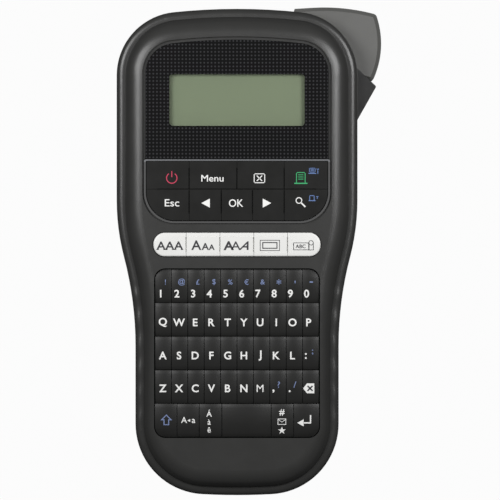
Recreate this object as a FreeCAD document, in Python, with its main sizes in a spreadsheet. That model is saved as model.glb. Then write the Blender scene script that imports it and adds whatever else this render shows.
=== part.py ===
import FreeCAD, Part
import math
import os
import Sketcher
from FreeCAD import Vector

# A handheld label maker lying on its back. +Z comes out of the front, +Y points to the display
# end, +X to the right. The origin is the middle of the flat back face.

os.makedirs("parts", exist_ok=True)
doc = FreeCAD.newDocument("LabelMaker")
sheet = doc.addObject("Spreadsheet::Sheet", "Sizes")

SIZES = {
    # the case as a whole
    "body_long": 206.8,          # end to end, without the lever
    "head_wide": 102.4,          # across the display end
    "grip_wide": 86.4,           # across the grip
    "case_deep": 57.0,           # back face to front face
    "wall": 2.4,
    "head_corner": 27.0,
    "grip_corner": 30.0,
    "head_crown": 260.0,         # the gentle arch of the top edge
    "grip_crown": 270.0,
    "waist_top": 22.0,           # where the side starts to draw in towards the grip
    "waist_low": -40.0,
    "waist_share": 0.39,         # how much of the S curve is its convex arc
    # levels above the back face
    "cover_deep": 6.0,
    "floor_low": 23.0,           # the floor between the bays and the front
    "floor_thick": 2.0,
    "split_level": 34.0,         # joint between middle and front case
    "shoulder_level": 51.0,
    "shoulder_round": 2.6,
    "deck_inset": 3.4,
    "deck_round": 7.6,
    "deck_ceiling": 53.0,
    "board_low": 47.4,
    "board_thick": 1.6,
    "mat_thick": 1.2,
    # the display
    "panel_half": 38.6,
    "panel_low": 39.4,
    "panel_top": 89.8,
    "panel_round": 12.5,
    "panel_seat": 54.6,
    "panel_thick": 1.7,
    "bezel_wide": 1.4,
    "bezel_level": 55.6,
    "window_half": 28.6,
    "window_low": 53.4,
    "window_tall": 21.9,
    "lens_thick": 1.0,
    # the control keys under the display
    "control_half": 38.3,
    "control_low": 13.3,
    "control_top": 38.9,
    "control_round": 12.0,
    "control_split": 26.6,
    "control_face": 56.4,
    "key_gap": 0.14,
    "key_slot": 0.3,             # clear space between keys and case
    "key_foot": 51.4,
    "trim_wide": 0.8,
    # the white quick keys
    "quick_half": 35.4,
    "quick_low": -1.9,
    "quick_tall": 10.1,
    "quick_round": 4.8,
    "quick_face": 57.2,
    # the letter keys
    "letter_half": 34.8,
    "letter_low": -78.4,
    "letter_top": -7.2,
    "letter_round": 4.5,
    "letter_face": 56.2,
    "letter_gap": 0.16,
    # the cutter lever and its wedge-shaped guard
    "pivot_inset": 26.2,         # pivot to the right side of the case
    "pivot_drop": 14.3,          # pivot to the top edge
    "lever_reach": 36.6,
    "lever_low": 28.0,
    "lever_high": 41.0,
    "lever_swing": 14.0,
    "pin_radius": 2.0,
    "run_gap": 0.05,             # radial clearance of shafts that turn
    "drive_out": 17.5,           # from the pivot to the pin that drives the blade holder
    "drive_down": 7.1,
    # the cassette, print head and drive
    "tape_wide": 12.0,
    "tape_drop": 41.4,           # tape path to the top edge
    "cassette_wide": 73.0,
    "cassette_tall": 50.0,
    "cassette_inset": 20.2,      # its mouth to the right side of the case
    "cassette_drop": 15.4,       # its far edge to the top edge
    "cassette_foot": 5.0,
    "cassette_deep": 17.5,
    "roll_radius": 17.5,
    "platen_inset": 12.7,
    "platen_radius": 4.0,
    "gear_module": 0.8,
    "gear_low": 26.0,
    "gear_thick": 4.0,
    "motor_inset": 43.2,
    "motor_drop": 43.4,
    "motor_radius": 9.0,
    # the power cells
    "cell_round": 10.5,          # diameter of a standard small cell
    "cell_long": 44.5,
    "cell_pitch": 11.0,
    "bay_middle": -45.0,
}

for row, (alias, value) in enumerate(SIZES.items(), start=1):
    sheet.set(f"A{row}", str(value))
    sheet.setAlias(f"A{row}", alias)
doc.recompute()

nodes = {}


def size(alias):
    """A driving dimension, read back from the sheet."""
    return float(sheet.get(alias))


def bind(item, prop, expression):
    """Binds a property to a formula over the sheet's aliases."""
    words = expression.replace("(", " ( ").replace(")", " ) ").split()
    item.setExpression(prop, " ".join("Sizes." + w if w in SIZES else w for w in words))


def keep(name, item):
    """Names a finished piece, which is then written to its own file."""
    item.Label = name
    nodes[name] = item
    return item


def plane_of(body, role):
    return next(f for f in body.Origin.OriginFeatures if f.Role == role)


def slab(name, left, right, low, high, low_round, high_round, foot, thick):
    """A plate with rounded corners: a fully dimensioned sketch, padded along +Z."""
    body = doc.addObject("PartDesign::Body", name)
    sketch = body.newObject("Sketcher::SketchObject", name + "_outline")
    sketch.AttachmentSupport = [(plane_of(body, "XY_Plane"), "")]
    sketch.MapMode = "FlatFace"
    bind(sketch, "AttachmentOffset.Base.z", foot)
    # a rough rounded square, which the dimensions below then pull to its real size
    sides = (((-8, -10), (8, -10)), ((10, -8), (10, 8)), ((8, 10), (-8, 10)), ((-10, 8), (-10, -8)))
    for start, end in sides:
        sketch.addGeometry(Part.LineSegment(Vector(*start, 0), Vector(*end, 0)), False)
    for corner, (x, y) in enumerate(((8, -8), (8, 8), (-8, 8), (-8, -8))):
        circle = Part.Circle(Vector(x, y, 0), Vector(0, 0, 1), 2)
        turn = math.radians(-90 + 90 * corner)
        sketch.addGeometry(Part.ArcOfCircle(circle, turn, turn + math.pi / 2), False)
    rules = []
    for side in range(4):
        rules.append(Sketcher.Constraint("Tangent", side, 2, 4 + side, 1))
        rules.append(Sketcher.Constraint("Tangent", 4 + side, 2, (side + 1) % 4, 1))
        rules.append(Sketcher.Constraint("Vertical" if side % 2 else "Horizontal", side))
    rules.append(Sketcher.Constraint("Equal", 4, 7))
    rules.append(Sketcher.Constraint("Equal", 5, 6))
    sketch.addConstraint(rules)
    sizes = (
        ("DistanceX", (-1, 1, 3, 1), -10, left),
        ("DistanceX", (-1, 1, 1, 1), 10, right),
        ("DistanceY", (-1, 1, 0, 1), -10, low),
        ("DistanceY", (-1, 1, 2, 1), 10, high),
        ("Radius", (4,), 2, low_round),
        ("Radius", (5,), 2, high_round),
    )
    for kind, places, value, expression in sizes:
        index = sketch.addConstraint(Sketcher.Constraint(kind, *places, value))
        bind(sketch, f"Constraints[{index}]", expression)
    pad = body.newObject("PartDesign::Pad", name + "_pad")
    pad.Profile = sketch
    bind(pad, "Length", thick)
    return body


def even_slab(name, half, low, high, low_round, high_round, foot, thick):
    return slab(name, f"-1 * ( {half} )", half, low, high, low_round, high_round, foot, thick)


def box(name, left, low, foot, wide, tall, thick):
    item = doc.addObject("Part::Box", name)
    for prop, expression in (("Length", wide), ("Width", tall), ("Height", thick)):
        bind(item, prop, expression)
    for axis, expression in (("x", left), ("y", low), ("z", foot)):
        bind(item, f"Placement.Base.{axis}", expression)
    return item


def rod(name, x, y, foot, radius, tall):
    item = doc.addObject("Part::Cylinder", name)
    bind(item, "Radius", radius)
    bind(item, "Height", tall)
    for axis, expression in (("x", x), ("y", y), ("z", foot)):
        bind(item, f"Placement.Base.{axis}", expression)
    return item


def cut(name, base, tool):
    item = doc.addObject("Part::Cut", name)
    item.Base = base
    item.Tool = tool
    return item


def common(name, base, tool):
    item = doc.addObject("Part::Common", name)
    item.Base = base
    item.Tool = tool
    return item


def made(name, shape):
    """A piece whose form neither a sketch nor a primitive gives."""
    item = doc.addObject("Part::Feature", name)
    item.Shape = shape
    item.Placement = FreeCAD.Placement()
    return keep(name, item)


def block(left, right, low, high, foot, top):
    return Part.makeBox(right - left, high - low, top - foot, Vector(left, low, foot))


def post(x, y, radius, foot, top):
    return Part.makeCylinder(radius, top - foot, Vector(x, y, foot))


def on_circle(centre, radius, degrees):
    turn = math.radians(degrees)
    return Vector(centre[0] + radius * math.cos(turn), centre[1] + radius * math.sin(turn), 0)


# ---- the outline of the case ----

half_long = size("body_long") / 2
half_head = size("head_wide") / 2
half_grip = size("grip_wide") / 2
wall = size("wall")
head_corner = size("head_corner")
grip_corner = size("grip_corner")
head_crown = size("head_crown")
grip_crown = size("grip_crown")
waist_top = size("waist_top")
waist_low = size("waist_low")
head_centre_x = half_head - head_corner
head_centre_y = half_long - head_crown + math.sqrt((head_crown - head_corner) ** 2 - head_centre_x ** 2)
grip_centre_x = half_grip - grip_corner
grip_centre_y = grip_crown - half_long - math.sqrt((grip_crown - grip_corner) ** 2 - grip_centre_x ** 2)
waist_turn = 2 * math.atan((half_head - half_grip) / (waist_top - waist_low))
waist_sum = (waist_top - waist_low) / math.sin(waist_turn)
waist_convex = size("waist_share") * waist_sum
waist_concave = waist_sum - waist_convex


def outline(inset, level):
    """The case's outline, moved inwards all round, as a face at a level."""
    crown_centre = (0, half_long - head_crown)
    foot_centre = (0, grip_crown - half_long)
    corner_turn = math.degrees(math.atan2(head_centre_y - crown_centre[1], head_centre_x))
    foot_turn = math.degrees(math.atan2(grip_centre_y - foot_centre[1], grip_centre_x))
    bend = math.degrees(waist_turn)
    # centre, radius, first and last angle of each arc of the right side, from the top down
    arcs = (
        (crown_centre, head_crown - inset, 90, corner_turn),
        ((head_centre_x, head_centre_y), head_corner - inset, corner_turn, 0),
        ((half_head - waist_convex, waist_top), waist_convex - inset, 0, -bend),
        ((half_grip + waist_concave, waist_low), waist_concave + inset, 180 - bend, 180),
        ((grip_centre_x, grip_centre_y), grip_corner - inset, 0, foot_turn),
        (foot_centre, grip_crown - inset, foot_turn, -90),
    )
    edges = []
    last = None
    for centre, radius, first, final in arcs:
        ends = [on_circle(centre, radius, turn) for turn in (first, (first + final) / 2, final)]
        if last is not None and last.distanceToPoint(ends[0]) > 0.001:
            edges.append(Part.makeLine(last, ends[0]))
        edges.append(Part.Arc(*ends).toShape())
        last = ends[2]
    right = Part.Wire(edges)
    left = right.mirror(Vector(0, 0, 0), Vector(1, 0, 0))
    whole = Part.Wire(Part.__sortEdges__(right.Edges + left.Edges))
    whole.translate(Vector(0, 0, level))
    return Part.Face(whole)


def prism(inset, foot, top):
    return outline(inset, foot).extrude(Vector(0, 0, top - foot))


def tab(half, low, high, low_round, high_round, foot, top, crowned=False):
    """A rounded plate as a plain shape; a crowned one has a top edge that follows the case's."""
    shape = block(-half, half, low, high, foot, top)
    high_corner = high
    if crowned:
        crown_centre = half_long - head_crown
        crown_radius = high - crown_centre
        shape = shape.common(post(0, crown_centre, crown_radius, foot, top))
        high_corner = crown_centre + math.sqrt(crown_radius ** 2 - half ** 2)
    corners = [(side, edge_y, radius) for side in (-half, half)
               for edge_y, radius in ((low, low_round), (high_corner, high_round))]
    for edge_x, edge_y, radius in corners:
        upright = [e for e in shape.Edges if abs(e.tangentAt(e.FirstParameter).z) > 0.99
                   and e.BoundBox.Center.distanceToPoint(Vector(edge_x, edge_y, (foot + top) / 2)) < 0.01]
        shape = shape.makeFillet(radius, upright)
    return shape


# ---- shared places ----

pivot = (half_head - size("pivot_inset"), half_long - size("pivot_drop"))
drive = (pivot[0] + size("drive_out"), pivot[1] - size("drive_down"))
reach = size("lever_reach")
lever_low = size("lever_low")
lever_high = size("lever_high")
swing = size("lever_swing")
floor_low = size("floor_low")
floor_top = floor_low + size("floor_thick")
split = size("split_level")
cover_deep = size("cover_deep")
case_deep = size("case_deep")
run_gap = size("run_gap")
tape_line = half_long - size("tape_drop")
tape_wide = size("tape_wide")
cassette_foot = size("cassette_foot")
tape_low = cassette_foot + 2.5
cassette_right = half_head - size("cassette_inset")
cassette_left = cassette_right - size("cassette_wide")
cassette_top = half_long - size("cassette_drop")
cassette_low = cassette_top - size("cassette_tall")
lever_gap = 0.5
seam = 0.35                       # bevel that shows where two case parts meet
above = 10.0                      # how far cutting shapes run past a face

# the drive: motor pinion, take-up gear and platen gear, all in one layer
module = size("gear_module")
pinion_teeth = 12
takeup_teeth = 30
platen_teeth = 16
motor = (half_head - size("motor_inset"), half_long - size("motor_drop"))
platen = (half_head - size("platen_inset"), tape_line - size("platen_radius") - 0.1)
to_pinion = module * (pinion_teeth + takeup_teeth) / 2
to_platen = module * (platen_teeth + takeup_teeth) / 2
span = math.dist(motor, platen)
along = (to_pinion ** 2 - to_platen ** 2 + span ** 2) / (2 * span)
aside = math.sqrt(to_pinion ** 2 - along ** 2)
toward = ((platen[0] - motor[0]) / span, (platen[1] - motor[1]) / span)
takeup = (motor[0] + along * toward[0] + aside * toward[1], motor[1] + along * toward[1] - aside * toward[0])
shaft_radius = 1.5
spindle_radius = 2.5
motor_shaft_radius = 0.75

# screws that hold the two case halves together, clear of the bays and the lever
screw_places = ((-43, 30), (43, 30), (-28, 95), (-27, -90), (27, -90))
screw_radius = 1.25
screw_gap = 0.05
boss_radius = 3.3

# the wedge-shaped guard beside the lever: two corners on the case side and the tip
wedge_root_top = (half_head - 4, 82.2)
wedge_tip = (half_head + 8.2, 70.6)
wedge_root_low = (half_head - 4, 49.0)
wedge_high = 44.0


def wedge(foot, top):
    corners = [Vector(x, y, foot) for x, y in (wedge_root_top, wedge_tip, wedge_root_low, wedge_root_top)]
    solid = Part.Face(Part.makePolygon(corners)).extrude(Vector(0, 0, top - foot))
    edge = [e for e in solid.Edges if e.BoundBox.XMin > wedge_tip[0] - 0.01]
    return solid.makeFillet(0.8, edge)


def lever_room():
    """The space that the lever sweeps through, cut out of the case walls."""
    radius = reach + lever_gap + 0.2
    first = on_circle(pivot, radius, -26.5 - swing - 2.5)
    middle = on_circle(pivot, radius, 20)
    last = on_circle(pivot, radius, 102)
    centre = Vector(*pivot, 0)
    arc = Part.Arc(first, middle, last).toShape()
    wire = Part.Wire([Part.makeLine(centre, first), arc, Part.makeLine(last, centre)])
    wire.translate(Vector(0, 0, lever_low - lever_gap))
    return Part.Face(wire).extrude(Vector(0, 0, lever_high - lever_low + 2 * lever_gap))


# ---- case ----

def make_front_case():
    shoulder = size("shoulder_level")
    deck_inset = size("deck_inset")
    lower = prism(0, split, shoulder)
    rim = [e for e in lower.Edges if e.BoundBox.ZMin > shoulder - 0.01]
    lower = lower.makeFillet(size("shoulder_round"), rim)
    lower = lower.makeChamfer(seam, [e for e in lower.Edges if e.BoundBox.ZMax < split + 0.01])
    deck = prism(deck_inset, split, case_deep)
    rim = [e for e in deck.Edges if e.BoundBox.ZMin > case_deep - 0.01]
    deck = deck.makeFillet(size("deck_round"), rim)
    shell = lower.fuse(deck).fuse(wedge(split, wedge_high)).removeSplitter()
    shell = shell.cut(prism(wall, split - above, shoulder - wall))
    shell = shell.cut(prism(deck_inset + 2.8, split, size("deck_ceiling")))
    for x, y in screw_places:
        boss = post(x, y, boss_radius, split, shoulder - wall + 0.5)
        shell = shell.fuse(boss.cut(post(x, y, screw_radius + screw_gap, split - 1, 46.5)))
    shell = shell.cut(lever_room())
    # the sunk frame around display and control keys, then the seats and openings inside it
    slot = size("key_slot")
    bezel = size("bezel_wide")
    trim = slot + size("trim_wide") + 0.05
    fit = 0.15
    seat = size("panel_seat")
    panel = (size("panel_half"), size("panel_low"), size("panel_top"), 0.85, size("panel_round"))
    control = (size("control_half"), size("control_low"), size("control_top"), size("control_round"), 0.5)
    quick_round = size("quick_round")
    quick_top = size("quick_low") + size("quick_tall")
    quick = (size("quick_half"), size("quick_low"), quick_top, quick_round, quick_round)
    letter_round = size("letter_round")
    letters = (size("letter_half"), size("letter_low"), size("letter_top"), letter_round, letter_round)
    frame = (panel[0], control[1] - 0.4, panel[2], control[3], panel[4])
    module_room = (size("window_half") + 4.6, size("window_low") - 4.9, size("window_low") + 27.1, 1.9, 1.9)
    openings = (
        (frame, bezel, size("bezel_level"), True),
        (panel, fit, seat, True),
        (module_room, 0.0, split, False),
        (control, trim, seat, False),
        (control, slot, split, False),
        (quick, slot, split, False),
        (letters, slot, split, False),
    )
    for (half, low, high, low_round, high_round), grow, foot, crowned in openings:
        shell = shell.cut(tab(half + grow, low - grow, high + grow, low_round + grow, high_round + grow,
                              foot, case_deep + above, crowned))
    return made("front_case", shell)


def make_middle_case():
    ring = prism(0, cover_deep, split).fuse(wedge(cover_deep, split)).removeSplitter()
    shell = ring.cut(prism(wall, cover_deep - 1, floor_low)).cut(prism(wall, floor_top, split + 1))
    # walls of the cell bay, and the wall that parts it from the cassette bay
    cell_half = size("cell_long") / 2 + 4.4
    bay_half = 3 * size("cell_pitch") + 1.2
    bay = size("bay_middle")
    bay_roof = 18.4
    skin = 1.6
    bay_foot = cover_deep + 0.6
    outer = block(-cell_half - skin, cell_half + skin, bay - bay_half - skin, bay + bay_half + skin,
                  bay_foot, floor_low)
    outer = outer.cut(block(-cell_half, cell_half, bay - bay_half, bay + bay_half, bay_foot - 1, bay_roof))
    shell = shell.fuse(outer)
    shell = shell.cut(block(-cell_half, cell_half, bay - bay_half, bay + bay_half,
                            bay_roof + skin, floor_top + 1))
    shell = shell.fuse(block(-half_head + wall + 1, half_head - wall - 1, 33, 34.6, bay_foot, floor_low)
                       .common(prism(wall, 0, split)))
    for x, y in screw_places:
        shell = shell.fuse(post(x, y, boss_radius, floor_top, split))
        shell = shell.cut(post(x, y, screw_radius + 0.3, floor_low - 1, split + 1))
    shell = shell.fuse(post(*pivot, 5.0, floor_top, floor_top + 0.5))
    shell = shell.cut(post(*pivot, size("pin_radius"), floor_low, floor_top + 1))
    shell = shell.cut(lever_room())
    # bearings of the platen shaft and the take-up spindle
    shell = shell.cut(post(*platen, shaft_radius + run_gap, floor_low - 1, floor_top + 1))
    shell = shell.cut(post(*takeup, spindle_radius + run_gap, floor_low - 1, floor_top + 1))
    # guide slot of the blade holder, and the slot that the label comes out of
    shell = shell.cut(block(half_head - 6.3, half_head - 3.3, tape_line - 1.6, drive[1] - 1.3,
                            floor_low - 1, floor_top + 1))
    shell = shell.cut(block(half_head - wall - 1, wedge_tip[0] + 2, tape_line - 1.1, tape_line + 1.3,
                            tape_low, tape_low + tape_wide + 1))
    # opening of the power socket in the top edge
    shell = shell.cut(block(-5.2, 5.2, 88, half_long + 1, floor_top, split + 1).common(
        block(-5.2, 5.2, half_long - wall - 2, half_long + 1, floor_top, split)))
    return made("middle_case", shell)


def make_back_cover():
    shell = prism(0, 0, cover_deep)
    rim = [e for e in shell.Edges if e.BoundBox.ZMax < 0.01]
    shell = shell.makeFillet(cover_deep - 1.0, rim)
    shell = shell.makeChamfer(seam, [e for e in shell.Edges if e.BoundBox.ZMin > cover_deep - 0.01])
    skin = 2.2
    shell = shell.cut(prism(wall + 1.0, skin, cover_deep + 1))
    # a shallow thumb dent beside the latch
    dent_radius = 24.0
    dent_deep = 1.0
    shell = shell.cut(Part.makeSphere(dent_radius, Vector(0, half_long - 16, dent_deep - dent_radius)))
    # latch tongue at the display end, and two hooks at the grip end
    tongue_back = half_long - wall - 2.6
    shell = shell.fuse(block(-8, 8, tongue_back, tongue_back + 1.8, 2.0, 13.0))
    shell = shell.fuse(block(-8, 8, tongue_back - 0.2, half_long - wall - 0.6, 2.0, 5.9))
    for x in (-14, 14):
        shell = shell.fuse(block(x - 4, x + 4, -half_long + wall + 1.0, -half_long + wall + 3.0, 2.0, 9.0))
    # ribs that press on the cells and on the cassette
    bay = size("bay_middle")
    for step in (-2, -1, 0, 1, 2):
        y = bay + step * size("cell_pitch")
        shell = shell.fuse(block(-18, 18, y - 0.6, y + 0.6, 2.0, 5.4))
    for x in (-30, 20):
        shell = shell.fuse(block(x, x + 1.5, cassette_low + 6, cassette_top - 8, 2.0, cassette_foot - 0.2))
    return made("back_cover", shell.removeSplitter())


# ---- display ----

def make_display():
    half = size("window_half")
    low = size("window_low")
    high = low + size("window_tall")
    seat = size("panel_seat")
    face = seat + size("panel_thick")
    lip = 1.2
    plate = tab(size("panel_half"), size("panel_low"), size("panel_top"), 0.8, size("panel_round"),
                seat, face, True)
    opening = tab(half, low, high, 1.5, 1.5, seat - 1, face + 1)
    rebate = tab(half + lip, low - lip, high + lip, 2.0, 2.0, seat - 1, seat + size("lens_thick"))
    made("display_panel", plate.cut(opening).cut(rebate))
    window_top = "window_low + window_tall"
    keep("lcd_lens", even_slab("lcd_lens", "window_half + 1.1", "window_low - 1.1",
                               f"{window_top} + 1.1", "1.9", "1.9", "panel_seat", "lens_thick"))
    keep("lcd_module", even_slab("lcd_module", "window_half + 4", "window_low - 4.5",
                                 f"{window_top} + 4", "1", "1", "board_low + board_thick", "4.6"))


def make_trim():
    outer = even_slab("trim_outer", "control_half + key_slot + trim_wide",
                      "control_low - key_slot - trim_wide", "control_top + key_slot",
                      "control_round + key_slot + trim_wide", "0.8", "panel_seat",
                      "control_face - panel_seat")
    inner = even_slab("trim_inner", "control_half + key_slot", "control_low - key_slot",
                      "control_top - key_slot", "control_round + key_slot", "0.5",
                      "panel_seat - 1", "control_face - panel_seat + 2")
    keep("key_trim", cut("key_trim", outer, inner))


# ---- keys ----

def make_control_keys():
    """Two rows of keys cut from one plate, with hairline joints between them."""
    plate = even_slab("control_plate", "control_half", "control_low", "control_top - 0.5",
                      "control_round", "0.6", "key_foot", "control_face - key_foot")
    rows = (
        ("control_split", "control_top", (("power", -20.2), ("menu", 0), ("clear", 20.0), ("print", None))),
        ("control_low", "control_split", (("escape", -20.2), ("left", -6.6), ("ok", 6.6), ("right", 20.0),
                                          ("preview", None))),
    )
    for low, high, keys in rows:
        start = "-1 * control_half - 1"
        for name, end in keys:
            stop = "control_half + 1" if end is None else str(end)
            cell = box(f"cell_{name}", f"{start} + key_gap / 2", f"{low} + key_gap / 2", "key_foot",
                       f"{stop} - ( {start} ) - key_gap", f"{high} - {low} - key_gap", "10")
            keep(f"key_{name}", common(f"key_{name}", cell, plate))
            start = stop


def make_quick_keys():
    plate = even_slab("quick_plate", "quick_half", "quick_low", "quick_low + quick_tall", "quick_round",
                      "quick_round", "key_foot", "quick_face - key_foot")
    names = ("font", "size", "style", "frame", "roll")
    joints = (None, -21.5, -7.2, 7.1, 21.4, None)
    for name, start, end in zip(names, joints[:-1], joints[1:]):
        left = "-1 * quick_half - 1" if start is None else str(start)
        right = "quick_half + 1" if end is None else str(end)
        cell = box(f"cell_{name}", f"{left} + key_gap / 2", "quick_low - 1", "key_foot",
                   f"{right} - ( {left} ) - key_gap", "quick_tall + 2", "10")
        keep(f"quick_{name}", common(f"quick_{name}", cell, plate))


def make_letter_keys():
    """Four rows of ten keys, each row one node, and the bottom row key by key."""
    half = size("letter_half")
    low = size("letter_low")
    high = size("letter_top")
    gap = size("letter_gap")
    foot = size("key_foot")
    face = size("letter_face")
    corner = size("letter_round")
    rows = 5
    columns = 10
    tall = (high - low) / rows
    pitch = 2 * half / columns
    plate = tab(half, low, high, corner, corner, foot, face)

    def key(left, right, row):
        top = high - row * tall - gap / 2
        return block(left + gap / 2, right - gap / 2, top - tall + gap, top, foot, face).common(plate)

    for row, name in enumerate(("digit_keys", "upper_keys", "home_keys", "lower_keys")):
        keys = [key(-half + column * pitch, -half + (column + 1) * pitch, row) for column in range(columns)]
        made(name, Part.makeCompound([k.Solids[0] for k in keys]))
    names = ("shift", "caps", "accent", "space", "symbol", "enter")
    ends = (0, 1.35, 2.7, 4.08, 7.08, 8.45, 10)       # in columns from the left edge
    for name, start, end in zip(names, ends[:-1], ends[1:]):
        made(f"key_{name}", key(-half + start * pitch, -half + end * pitch, rows - 1).Solids[0])


# ---- electronics under the front ----

def make_boards():
    board_low = size("board_low")
    board_top = board_low + size("board_thick")
    board = prism(size("deck_inset") + 3.5, board_low, board_top)
    for x, y in screw_places:
        board = board.cut(post(x, y, boss_radius + 0.6, board_low - 1, board_top + 1))
    made("main_board", board)
    keep("letter_mat", even_slab("letter_mat", "letter_half", "letter_low", "letter_top", "3", "3",
                                 "board_low + board_thick", "mat_thick"))
    keep("function_mat", even_slab("function_mat", "control_half", "quick_low - 1", "control_top", "8", "2",
                                   "board_low + board_thick", "mat_thick"))


def make_power_socket():
    front = half_long - 0.6
    shell = block(-4.5, 4.5, front - 13, front, floor_top + 0.3, split - 0.6)
    middle = (floor_top + 0.3 + split - 0.6) / 2
    mouth = Part.makeCylinder(3.0, 9.5, Vector(0, front + 0.5, middle), Vector(0, -1, 0))
    pin = Part.makeCylinder(0.9, 9.0, Vector(0, front - 1.0, middle), Vector(0, -1, 0))
    made("power_socket", shell.cut(mouth).fuse(pin))


def make_screws():
    screws = []
    for x, y in screw_places:
        head = post(x, y, 2.4, floor_low - 1.8, floor_low)
        slot = block(x - 1.8, x + 1.8, y - 0.3, y + 0.3, floor_low - 2, floor_low - 1.1)
        screws.append(head.cut(slot).fuse(post(x, y, screw_radius, floor_low - 0.5, 44)).Solids[0])
    made("case_screws", Part.makeCompound(screws))


# ---- cutter ----

def lever_profile(level):
    """Seen from the front: a fan about the pivot with an arched top edge."""
    rim_low = on_circle(pivot, reach, -26.5)
    rim_mid = on_circle(pivot, reach, -3)
    rim_high = on_circle(pivot, reach, 20)
    arch = Vector(pivot[0] + 20.5, pivot[1] + 15.1, 0)
    arch_end = Vector(pivot[0] + 8.0, pivot[1] + 15.4, 0)
    top_left = Vector(pivot[0] - 0.4, pivot[1] + 14.9, 0)
    hub_left = Vector(pivot[0] - 5.0, pivot[1], 0)
    hub_low = on_circle(pivot, 6.0, -125)
    wire = Part.Wire([
        Part.Arc(rim_low, rim_mid, rim_high).toShape(),
        Part.Arc(rim_high, arch, arch_end).toShape(),
        Part.makeLine(arch_end, top_left),
        Part.makeLine(top_left, hub_left),
        Part.makeLine(hub_left, hub_low),
        Part.makeLine(hub_low, rim_low),
    ])
    wire.translate(Vector(0, 0, level))
    return Part.Face(wire)


def make_cutter():
    skin = 2.4
    cap = lever_profile(lever_low).extrude(Vector(0, 0, lever_high - lever_low))
    upright = [e for e in cap.Edges if e.BoundBox.XMin > pivot[0] + 25 and e.BoundBox.ZLength > 5]
    cap = cap.makeFillet(2.0, upright)
    rim = [e for e in cap.Edges if e.BoundBox.ZMin > lever_high - 0.01 and e.BoundBox.XMax > pivot[0] + 30]
    cap = cap.makeChamfer(1.6, rim)
    inner = lever_profile(lever_low - 1).makeOffset2D(-skin)
    hollow = inner.extrude(Vector(0, 0, lever_high - skin - lever_low + 1))
    lever = cap.cut(hollow)
    lever = lever.fuse(post(*pivot, 4.6, floor_top + 0.6, lever_high - 1))
    lever = lever.fuse(post(*drive, 2.6, lever_low, lever_high - 1))
    lever = lever.fuse(post(*drive, 1.2, floor_top + 0.5, lever_low + 1))
    lever = lever.cut(post(*pivot, size("pin_radius") + run_gap, floor_top, lever_high + 1))
    made("cutter_lever", lever.removeSplitter())
    keep("lever_pin", rod("lever_pin", "head_wide / 2 - pivot_inset", "body_long / 2 - pivot_drop",
                          "floor_low", "pin_radius", "lever_high - floor_low + 5"))
    # the return spring's turns are drawn as the sleeve that they fill
    coil_foot = lever_high + 0.6
    coil = post(*pivot, 3.6, coil_foot, coil_foot + 2.8)
    made("lever_spring", coil.cut(post(*pivot, 2.8, coil_foot - 1, coil_foot + 4)))
    # the holder slides in the floor's guide slot, and its cross slot takes the lever's drive pin
    flange_low = floor_top + 0.15
    flange_high = lever_low - 0.4
    x, y = drive
    stem_left = half_head - 6.1
    stem_right = half_head - 3.5
    flange = block(x - 5.2, x + 3.0, y - 3.4, y + 3.2, flange_low, flange_high)
    flange = flange.fuse(block(x - 5.2, stem_right, y - 3.4, y - 1.6, flange_low, flange_high))
    flange = flange.cut(block(x - 3.9, x + 1.5, y - 1.5, y + 1.5, flange_low - 1, flange_high + 1))
    stem = block(stem_left, stem_right, tape_line + 3, y - 1.6, cassette_foot + 1, flange_low + 1)
    made("blade_holder", stem.fuse(flange).removeSplitter())
    tip = tape_line + 0.9
    blade_low = tape_low - 0.9
    blade_high = blade_low + tape_wide + 3.0
    blade_back = y - 6
    edge = ((tip, blade_low), (tip + 1.6, blade_high), (blade_back, blade_high), (blade_back, blade_low))
    corners = [Vector(stem_right + 0.05, a, b) for a, b in edge + edge[:1]]
    made("blade", Part.Face(Part.makePolygon(corners)).extrude(Vector(0.5, 0, 0)))


# ---- drive ----

def gear(teeth, centre, phase, bore, foot, thick):
    """A spur gear with straight-sided teeth; phase is the angle of one tooth in degrees."""
    radius = module * teeth / 2
    flank = ((-1.45, -1.15), (-1.0, 0.0), (-0.5, 0.85), (0.5, 0.85), (1.0, 0.0), (1.45, -1.15))
    pitch = 2 * math.pi / teeth
    half_tooth = pitch / 4 * 0.86
    points = []
    for number in range(teeth):
        middle = math.radians(phase) + number * pitch
        for turn, reach_out in flank:
            angle = middle + turn * half_tooth
            out = radius + reach_out * module
            points.append(Vector(centre[0] + out * math.cos(angle), centre[1] + out * math.sin(angle), foot))
    wheel = Part.Face(Part.makePolygon(points + points[:1])).extrude(Vector(0, 0, thick))
    return wheel.cut(post(*centre, bore, foot - 1, foot + thick + 1))


def mated_phase(phase, teeth, direction, mate_teeth):
    """Phase of a gear that meshes with another one lying in a given direction from it."""
    return direction + 180 - ((phase - direction) * teeth + 180) / mate_teeth


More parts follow.
